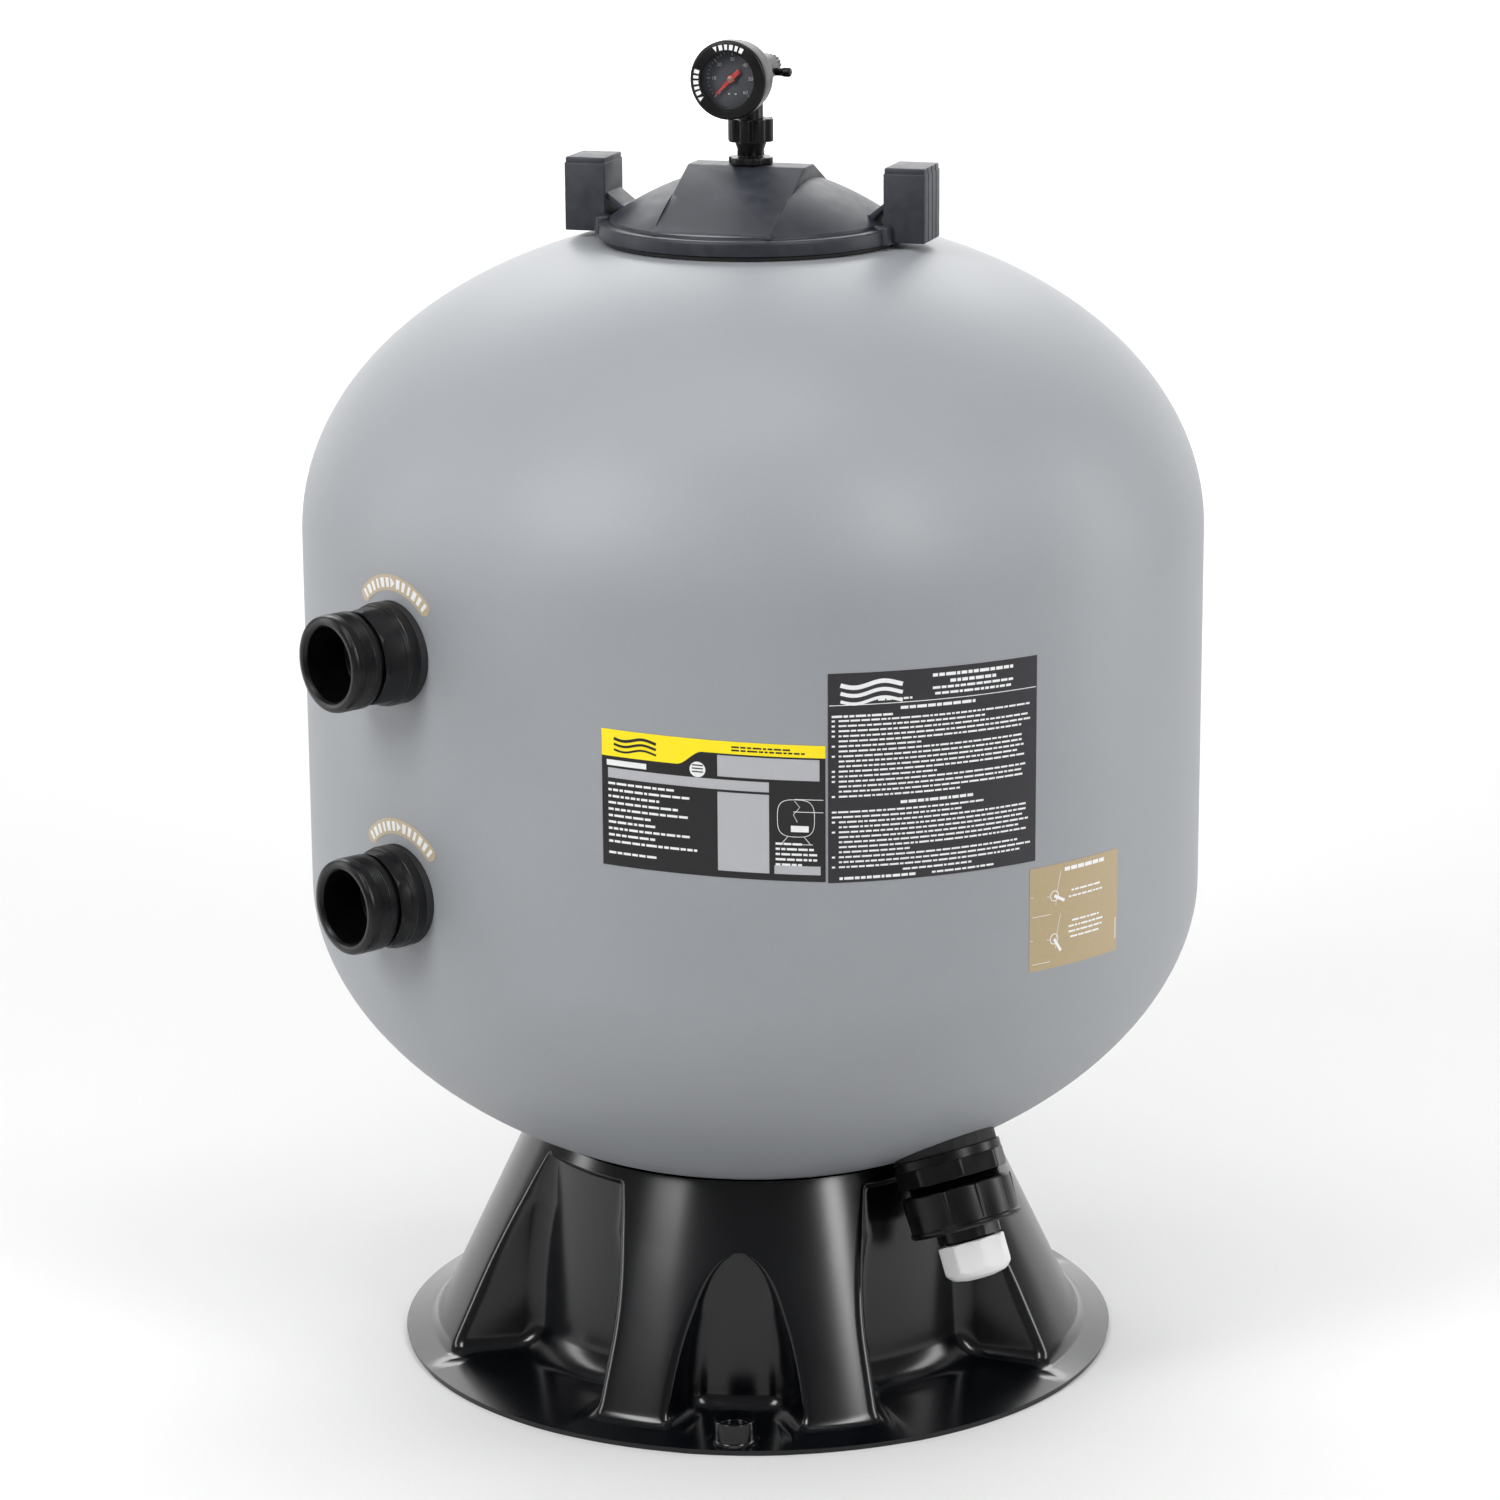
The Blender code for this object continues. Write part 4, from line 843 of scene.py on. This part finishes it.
def make_gauge():
    case = eased([(0, 0.0303, 0), (0.0200, 0.0303, 2 * MM), (0.0285, 0.0330, 2 * MM),
                  (0.0285, 0.0600), (0.0266, 0.0600), (0.0266, 0.0480), (0, 0.0480, 0)], 0.3 * MM)
    housing = turned("gauge_housing", widened(case), GAUGE, 96)
    fitted(housing, "gauge_head", SATIN_ABS, "fitting_black", "gauge_case")
    dial = eased([(0.0016, DIAL_FACE_Z), (0.0016, 0.0483), (0.0262, 0.0483),
                  (0.0262, DIAL_FACE_Z)], 0.1 * MM)
    dial = turned("dial_face", widened(dial), GAUGE, 96)
    fitted(dial, "gauge_head", DIAL_PRINT, "dial_black", "gauge_dial")
    post = eased([(0, 0.0553, 0), (0.0012, 0.0553), (0.0012, 0.0483), (0, 0.0483, 0)], 0.2 * MM)
    fitted(turned("needle_spindle", post, GAUGE, 32), "gauge_head", BRASS, "brass",
           "needle_post")
    lens = eased([(0, 0.0590, 0), (0.0262, 0.0590), (0.0262, 0.0575), (0, 0.0575, 0)], 0.3 * MM)
    window = turned("gauge_window", widened(lens), GAUGE, 96)
    fitted(window, "gauge_head", LENS, "clear", "gauge_lens")

    ring = eased([(0.0292, RING_FACE_Z, 1.0 * MM), (0.0305, 0.0612), (0.0305, 0.0505),
                  (0.0289, 0.0505), (0.0289, 0.0605), (0.0208, 0.0605),
                  (0.0212, RING_FACE_Z, 0.5 * MM)])
    ring = turned("bezel_ring", widened(ring), GAUGE, 128)
    fitted(ring, "gauge_ring", SATIN_ABS, "fitting_black", "gauge_ring")
    make_needle()
    make_dial_print()
    make_ring_marks()


def make_needle():
    swing = guide((0, 0, 0), NEEDLE_REST, "Z", GAUGE)
    blade = plate("needle_blade", [(-0.0019, -0.0100), (0.0019, -0.0100), (0.0019, -0.0025),
                                   (0.0006, 0.0185), (-0.0006, 0.0185), (-0.0019, -0.0025)],
                  0.0522, 0.0532, swing, 0.2 * MM)
    hub = turned("needle_boss", eased([(0, 0.0542, 0), (0.0032, 0.0542), (0.0032, 0.0518),
                                       (0, 0.0518, 0)], 0.3 * MM), GAUGE, 48)
    combined(blade, [hub])
    combined(blade, [rod("needle_hole", 0.0015, 0.04, 0.07, GAUGE, 32)], "DIFFERENCE")
    fitted(blade, "gauge_needle", NEEDLE_PAINT, "needle_red", "gauge_needle")
    cap = turned("needle_cap", eased([(0.0026, 0.0543), (0.0026, 0.0549), (0.0014, 0.0552),
                                      (0.0014, 0.0543)], 0.1 * MM), GAUGE, 48)
    fitted(cap, "gauge_needle", BRASS, "brass")


def add_band(work, place, pairs, base, top):
    """A closed thin strip of print; its two edges run through the pairs of points."""
    rings = []
    for (u1, v1), (u2, v2) in pairs:
        spots = ((u1, v1, base), (u2, v2, base), (u2, v2, top), (u1, v1, top))
        rings.append([work.verts.new(place(*spot)) for spot in spots])
    for one, two in zip(rings, rings[1:]):
        for k in range(4):
            n = (k + 1) % 4
            work.faces.new((one[k], one[n], two[n], two[k]))
    work.faces.new(rings[0])
    work.faces.new(rings[-1][::-1])


def patch(start, end, low, high, step=4 * MM):
    """Edge pairs of a patch between two lines, each a height or a function of u."""
    count = max(1, ceil((end - start) / step))
    pairs = []
    for i in range(count + 1):
        u = start + (end - start) * i / count
        pairs.append(((u, low(u) if callable(low) else low),
                      (u, high(u) if callable(high) else high)))
    return pairs


def stroke(points, width):
    """Edge pairs of a line drawn through the points."""
    pairs = []
    for i, here in enumerate(points):
        before = Vector(points[max(i - 1, 0)])
        after = Vector(points[min(i + 1, len(points) - 1)])
        along = (after - before).normalized()
        off = Vector((-along.y, along.x)) * width / 2
        pairs.append((tuple(Vector(here) - off), tuple(Vector(here) + off)))
    return pairs


def make_dial_print():
    """Scale ticks round the rim, numbers inside them and two plain dots."""
    work = bmesh.new()
    base, top = DIAL_FACE_Z, 0.0494
    for k in range(31):
        long_tick = k % 5 == 0
        inner = 0.0178 if long_tick else 0.0190
        half = radians(0.9 if long_tick else 0.5)
        angle = scale_angle(k / 30)
        add_band(work, on_dial, [((inner, angle - half), (inner, angle + half)),
                                 ((0.0205, angle - half), (0.0205, angle + half))], base, top)
    for side in (-1, 1):
        add_band(work, lambda x, y, h: (x, y, h),
                 [((side * 0.0028 + dx, -0.0125 - dy), (side * 0.0028 + dx, -0.0125 + dy))
                  for dx, dy in ((-0.0009, 0.0003), (0, 0.0009), (0.0009, 0.0003))], base, top)
    fitted(built("dial_scale", work, GAUGE, 20), "gauge_head", INK_WHITE, None)
    for k in range(7):
        angle = scale_angle(k / 6)
        curve = bpy.data.curves.new("number", "FONT")
        curve.body = str(10 * k)
        curve.size = 0.0042
        curve.align_x = "CENTER"
        curve.align_y = "CENTER"
        curve.extrude = 0.05 * MM
        writing = bpy.data.objects.new("number", curve)
        scene.collection.objects.link(writing)
        bpy.context.view_layer.update()
        view = writing.evaluated_get(bpy.context.evaluated_depsgraph_get())
        mesh = bpy.data.meshes.new_from_object(view)
        bpy.data.objects.remove(writing, do_unlink=True)
        number = bpy.data.objects.new("dial_number_%d" % (10 * k), mesh)
        scene.collection.objects.link(number)
        number.matrix_world = guide(on_dial(0.0148, angle, top), 0, "Z", GAUGE)
        fitted(number, "gauge_head", INK_WHITE, None)


def make_ring_marks():
    """Plain marks printed on the ring's face: an arrowhead and a run of bars, twice."""
    work = bmesh.new()
    low, high = 0.0233, 0.0274
    base, top = RING_FACE_Z - 0.02 * MM, RING_FACE_Z + 0.06 * MM
    for tip in (radians(112), radians(214)):
        add_band(work, on_dial, [((low, tip - radians(0.2)), (low, tip + radians(0.2))),
                                 ((high, tip - radians(3.4)), (high, tip + radians(3.4)))],
                 base, top)
        for k in range(5):
            middle = tip - radians(10 + 9.5 * k)
            half = radians(2.6 if k % 2 else 3.3)
            pairs = [((low, middle - half + half * 2 * i / 3),
                      (high, middle - half + half * 2 * i / 3)) for i in range(4)]
            add_band(work, on_dial, pairs, base, top)
    fitted(built("ring_marks", work, GAUGE, 20), "gauge_ring", INK_WHITE, None)


# ---- labels -------------------------------------------------------------------------------
VINYL = 0.15 * MM
INK = 0.06 * MM
WORD_GAP = 1.1 * MM
LABEL_R = TANK_R + 0.1 * MM


def flat_label(left, right, low, high, lean):
    """Where a point (u, v) from a label's top left corner lies; v counts down."""
    width = radians(right - left) * TANK_R

    def place(u, v, h):
        angle = radians(left) + u / TANK_R
        reach = LABEL_R + h
        return reach * sin(angle), -reach * cos(angle), high + lean * (1 - 2 * u / width) - v
    return place, width, high - low


def arched_label(port_z):
    """An arched strip over a port: u runs along the arch, v out from the port's axis."""
    def place(u, v, h):
        angle = -pi / 2 + v * sin(u) / TANK_R
        reach = LABEL_R + h
        return reach * sin(angle), -reach * cos(angle), port_z + v * cos(u)
    return place


def printed_layer(name, place, shapes, level, ink, slot=None, *nodes):
    """One colour of a label: level 0 is the vinyl itself, each ink lies on the last."""
    base = 0.0 if level == 0 else VINYL + INK * (level - 1)
    top = VINYL + INK * level
    work = bmesh.new()
    for pairs in shapes:
        add_band(work, place, pairs, base, top)
    fitted(built(name, work, TANK, 20), "tank", ink, slot, *nodes)


def text_line(chance, start, end, v, height, fill=1.0):
    """Word-length dashes that stand for a line of print."""
    stop = start + (end - start) * fill
    shapes = []
    u = start
    while u < stop - 2 * MM:
        length = min(chance.uniform(2.2, 8.5) * MM, stop - u)
        shapes.append(patch(u, u + length, v, v + height))
        u += length + WORD_GAP
    return shapes


def wave_mark(left, top, size, rows=3):
    """A plain mark: a few waves, one under the other."""
    shapes = []
    for row in range(rows):
        points = []
        for k in range(25):
            t = k / 24
            points.append((left + size * t, top + row * size * 0.13
                           + sin(t * 2.2 * pi) * size * 0.045))
        shapes.append(stroke(points, size * (0.07 - 0.010 * row)))
    return shapes


def make_spec_label():
    place, width, height = flat_label(-59.2, -32.7, 0.5170, 0.6270, 0.006)
    chance = random.Random(11)
    printed_layer("spec_vinyl", place, [patch(0, width, 0, height)], 0, VINYL_BLACK,
                  "label_black", "spec_label")

    def band_foot(u):
        t = min(1.0, max(0.0, (u - 0.060) / 0.020))
        return 0.0215 - 0.0115 * t * t * (3 - 2 * t)
    printed_layer("spec_yellow_band", place, [patch(0, width, 0, band_foot, 2 * MM)], 1,
                  INK_YELLOW)
    fields = [patch(0.005, 0.132, 0.0310, 0.0390), patch(0.092, 0.1715, 0.0115, 0.0285),
              patch(0.092, 0.132, 0.0410, height - 0.0055),
              patch(0.136, width - 0.004, height - 0.0125, height - 0.0055)]
    printed_layer("spec_grey_fields", place, fields, 1, INK_GREY)
    white = [patch(0.004, 0.036, 0.0245, 0.0290)]
    for k in range(11):
        top = 0.0425 + 0.0052 * k + (0.004 if k == 10 else 0)
        white += text_line(chance, 0.005, 0.082, top, 1.9 * MM, chance.uniform(0.45, 0.98))
    for k in range(5):
        white += text_line(chance, 0.137, width - 0.005, 0.0790 + 0.0042 * k, 1.8 * MM,
                           0.6 if k in (0, 4) else 0.95)
    white += tank_drawing(0.153, 0.0440)
    badge = []
    for k in range(1, 24):
        a = pi * k / 24
        badge.append(((0.0765 - 6.2 * MM * cos(a), 0.0245 - 6.2 * MM * sin(a)),
                      (0.0765 - 6.2 * MM * cos(a), 0.0245 + 6.2 * MM * sin(a))))
    white.append(badge)
    printed_layer("spec_white_print", place, white, 1, INK_WHITE)
    dark = [patch(0.0722, 0.0808, 0.0232 + 2.6 * MM * k, 0.0242 + 2.6 * MM * k)
            for k in (-1, 0, 1)]
    printed_layer("spec_badge_bars", place, dark, 2, VINYL_BLACK)
    mark = wave_mark(0.010, 0.0070, 0.034) + text_line(chance, 0.103, 0.160, 0.0036, 1.4 * MM,
                                                       0.8)
    mark += text_line(chance, 0.103, 0.160, 0.0062, 1.4 * MM)
    printed_layer("spec_dark_print", place, mark, 2, VINYL_BLACK)


def tank_drawing(middle, top):
    """A small line drawing of a round tank on its foot, with two level lines."""
    wide, tall = 0.0145, 0.030
    outline = []
    for k in range(41):
        a = 2 * pi * k / 40
        bulge = 2 / 3.2
        x = abs(cos(a)) ** bulge * (1 if cos(a) >= 0 else -1)
        y = abs(sin(a)) ** bulge * (1 if sin(a) >= 0 else -1)
        outline.append((middle + wide * x, top + tall / 2 - tall / 2 * y))
    lines = [stroke(outline, 0.45 * MM)]
    foot = top + tall
    lines.append(stroke([(middle - 0.0065, foot), (middle - 0.0115, foot + 0.006)], 0.45 * MM))
    lines.append(stroke([(middle + 0.0065, foot), (middle + 0.0115, foot + 0.006)], 0.45 * MM))
    lines.append(patch(middle - 0.013, middle + 0.013, foot + 0.0058, foot + 0.0063))
    lines.append(patch(middle - 0.004, middle + 0.010, foot - 0.0090, foot - 0.0040))
    lines.append(patch(middle - 0.001, middle + 0.0215, top - 0.0006, top - 0.0001))
    lines.append(patch(middle - 0.002, middle + 0.0215, top + 0.0095, top + 0.0100))
    flow = [(middle - 0.001, top + 0.001), (middle + 0.003, top + 0.006),
            (middle - 0.002, top + 0.012), (middle + 0.001, top + 0.018)]
    lines.append(stroke(flow, 0.4 * MM))
    return lines


def make_instruction_label():
    place, width, height = flat_label(-32.4, -5.2, 0.5090, 0.6775, 0.001)
    chance = random.Random(29)
    printed_layer("instruction_vinyl", place, [patch(0, width, 0, height)], 0, VINYL_CHARCOAL,
                  "label_black", "instruction_label")
    white = wave_mark(0.010, 0.0095, 0.050)
    white += text_line(chance, 0.040, 0.068, 0.0215, 1.6 * MM)
    middle = width * 0.67
    for v, half, tall in ((0.0045, 0.036, 2.6), (0.0100, 0.021, 2.6), (0.0150, 0.036, 2.0),
                          (0.0196, 0.034, 2.0)):
        white += text_line(chance, middle - half, middle + half, v, tall * MM)
    white.append(patch(0.001, width - 0.001, 0.0252, 0.0258))
    middle = width / 2
    white += text_line(chance, middle - 0.032, middle + 0.032, 0.0285, 2.4 * MM)
    white += text_line(chance, 0.003, 0.052, 0.0335, 1.8 * MM)
    for start, rows in ((0.0372, 16), (0.1105, 12)):
        for k in range(rows):
            v = start + 0.00405 * k
            bullet = chance.random() < 0.45
            left = 0.0085 if start < 0.1 or k > 1 else 0.003
            white += text_line(chance, left, width - 0.005, v, 1.5 * MM,
                               chance.uniform(0.93, 1.0) if chance.random() < 0.65
                               else chance.uniform(0.25, 0.9))
            if bullet:
                white.append(patch(0.003, 0.0055, v, v + 1.5 * MM))
    white += text_line(chance, middle - 0.032, middle + 0.032, 0.1045, 2.4 * MM)
    white += text_line(chance, middle - 0.030, middle + 0.030, 0.1595, 1.6 * MM)
    white += text_line(chance, 0.009, 0.072, 0.1640, 2.2 * MM)
    white += text_line(chance, 0.085, 0.140, 0.1643, 1.6 * MM)
    printed_layer("instruction_white_print", place, white, 1, INK_WHITE)


def make_drain_label():
    place, width, height = flat_label(-6.0, 9.4, 0.4145, 0.5005, 0.001)
    chance = random.Random(5)
    printed_layer("drain_vinyl", place, [patch(0, width, 0, height)], 0, VINYL_GOLD,
                  "label_gold", "drain_label")
    white = text_line(chance, 0.037, 0.084, 0.0040, 3.2 * MM)
    for v, left, right in ((0.0235, 0.045, 0.080), (0.0285, 0.042, 0.082), (0.0490, 0.046, 0.078),
                           (0.0535, 0.042, 0.084), (0.0580, 0.042, 0.082),
                           (0.0625, 0.044, 0.080)):
        white += text_line(chance, left, right, v, 1.5 * MM)
    for top, tilt in ((0.0180, 0.4), (0.0540, 0.9)):
        centre = (0.026, top + 0.008)
        ring = [(centre[0] + 4.2 * MM * cos(2 * pi * k / 20),
                 centre[1] + 4.2 * MM * sin(2 * pi * k / 20)) for k in range(21)]
        white.append(stroke(ring, 0.7 * MM))
        white.append(stroke([centre, (centre[0] + 0.012 * cos(tilt),
                                      centre[1] + 0.014 * sin(tilt))], 2.6 * MM))
        white.append(stroke([(0.001, top + 0.006), (0.021, top + 0.008)], 0.35 * MM))
        sweep = [(0.033 - 0.012 * k / 10 + 0.006 * (k / 10) ** 2, top - 0.012 + 0.004 * k)
                 for k in range(8)]
        white.append(stroke(sweep, 0.35 * MM))
    white.append(patch(0.003, 0.022, 0.0405, 0.0409))
    white.append(patch(0.003, 0.022, height - 0.0060, height - 0.0056))
    white.append(stroke([(width - 0.0022, 0.058), (width - 0.0022, 0.076)], 0.8 * MM))
    printed_layer("drain_white_print", place, white, 1, INK_WHITE)


def make_arched_labels():
    """A beige strip over each port, with plain slanted bars and a flow arrow."""
    low, high = 0.0500, 0.0630
    for side, port_z in (("outlet", OUTLET_Z), ("inlet", INLET_Z)):
        place = arched_label(port_z)
        reach = radians(49)
        strip = []
        for k in range(49):
            u = -reach + 2 * reach * k / 48
            end = max(0.0, (abs(u) - reach + radians(6)) / radians(6))
            pull = 0.0062 * (1 - (1 - min(end, 0.98) ** 2) ** 0.5)
            strip.append(((u, low + pull), (u, high - pull)))
        printed_layer(side + "_vinyl", place, [strip], 0, VINYL_BEIGE, "label_gold",
                      side + "_label")
        bars = []
        for k in range(13):
            middle = radians(-42 + 7 * k)
            if k == 6:
                tail, tip = middle - radians(2.6), middle + radians(2.6)
                bars.append([((tail, low + 0.0022), (tail, high - 0.0022)),
                             ((tip, 0.0563), (tip, 0.0567))])
                continue
            half = radians(1.5 + 0.8 * ((k * 5) % 3) / 2)
            bars.append([((middle - half, low + 0.0026), (middle - half, high - 0.0026)),
                         ((middle + half, low + 0.0026), (middle + half, high - 0.0026))])
        printed_layer(side + "_white_print", place, bars, 1, INK_WHITE)


# ---- pieces whose solids already have their shape -----------------------------------------
def finish_inside():
    """Plumbing inside the tank and hidden seals keep their solids, with real finishes."""
    laterals = ["lateral_%d" % k for k in range(1, 9)]
    white = ["outlet_pipe", "inlet_pipe", "inlet_diffuser", "lateral_hub", "air_relief_tube",
             "air_relief_screen", "drain_screen"] + laterals
    rubber = ["outlet_inner_gasket", "inlet_inner_gasket", "drain_inner_gasket",
              "drain_outer_gasket", "drain_o_ring", "swivel_seal", "bleed_washer"]
    for names, finish in ((white, WHITE_PVC), (rubber, RUBBER), (["neck_ring"], SATIN_ABS)):
        for name in names:
            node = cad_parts[name]
            node.data.materials.clear()
            node.data.materials.append(finish)


# ---- studio -------------------------------------------------------------------------------
VIEW_TURN = radians(-41)
VIEW = guide((0, 0, 0), VIEW_TURN, "Z", TANK)       # -Y runs from the tank to the camera
CAMERA_BACK = 3.9204
CAMERA_Z = 1.5428
CAMERA_DIP = radians(14.625)
CAMERA_ROLL = radians(-0.35)


def make_camera():
    data = bpy.data.cameras.new("camera")
    data.lens = 113.19
    data.sensor_width = 36.0
    data.shift_x = -0.003
    camera = bpy.data.objects.new("camera", data)
    scene.collection.objects.link(camera)
    aim = guide((0, -CAMERA_BACK, CAMERA_Z), pi / 2 - CAMERA_DIP, "X", VIEW)
    camera.matrix_world = guide((0, 0, 0), CAMERA_ROLL, "Z", aim)
    scene.camera = camera


def softbox(name, place, aim, size, power):
    """A plain white panel light, aimed from one place at another."""
    data = bpy.data.lights.new(name, "AREA")
    data.shape = "RECTANGLE"
    data.size, data.size_y = size
    data.energy = power
    lamp = bpy.data.objects.new(name, data)
    scene.collection.objects.link(lamp)
    start, end = VIEW @ Vector(place), VIEW @ Vector(aim)
    turn = (end - start).to_track_quat("-Z", "Y")
    lamp.matrix_world = Matrix.Translation(start) @ turn.to_matrix().to_4x4()


def paper(name, half_width, place, glow=0.0):
    """A flat sheet of backdrop paper, staged."""
    work = bmesh.new()
    bmesh.ops.create_grid(work, x_segments=8, y_segments=8, size=half_width)
    sheet = built(name, work, place)
    sheet.data.materials.append(matt_floor(glow))


def make_studio():
    paper("floor", 30.0, guide((0, 0, 0)))
    paper("backdrop", 9.0, guide((0, 8.0, 0), pi / 2, "X", VIEW), 1.2)
    world = bpy.data.worlds.new("studio")
    world.use_nodes = True
    sky = world.node_tree.nodes["Background"]
    sky.inputs["Color"].default_value = (1.0, 1.0, 1.0, 1.0)
    sky.inputs["Strength"].default_value = 0.20
    scene.world = world
    softbox("key_box", (-1.9, -1.9, 2.4), (0, 0, 0.8), (0.9, 1.6), 54)
    softbox("fill_box", (1.7, -2.2, 2.3), (0, 0, 0.7), (0.45, 1.9), 40)
    softbox("top_box", (0, -0.6, 3.2), (0, 0, 0.9), (1.6, 1.2), 20)
    softbox("left_strip", (-2.5, 0.2, 1.1), (0, 0, 0.5), (0.4, 2.0), 16)
    softbox("right_strip", (2.5, 0.1, 1.1), (0, 0, 0.5), (0.5, 2.0), 22)
    softbox("floor_light", (0, 4.8, 4.0), (0, 4.6, 0), (5.0, 2.6), 220)
    scene.view_settings.view_transform = "Standard"


make_camera()
make_studio()
make_tank()
make_skirt()
make_port("outlet", OUTLET, OUTLET_REACH)
make_port("inlet", INLET, INLET_REACH)
make_drain()
make_lid()
make_stem()
make_swivel()
make_gauge()
make_spec_label()
make_instruction_label()
make_drain_label()
make_arched_labels()
finish_inside()
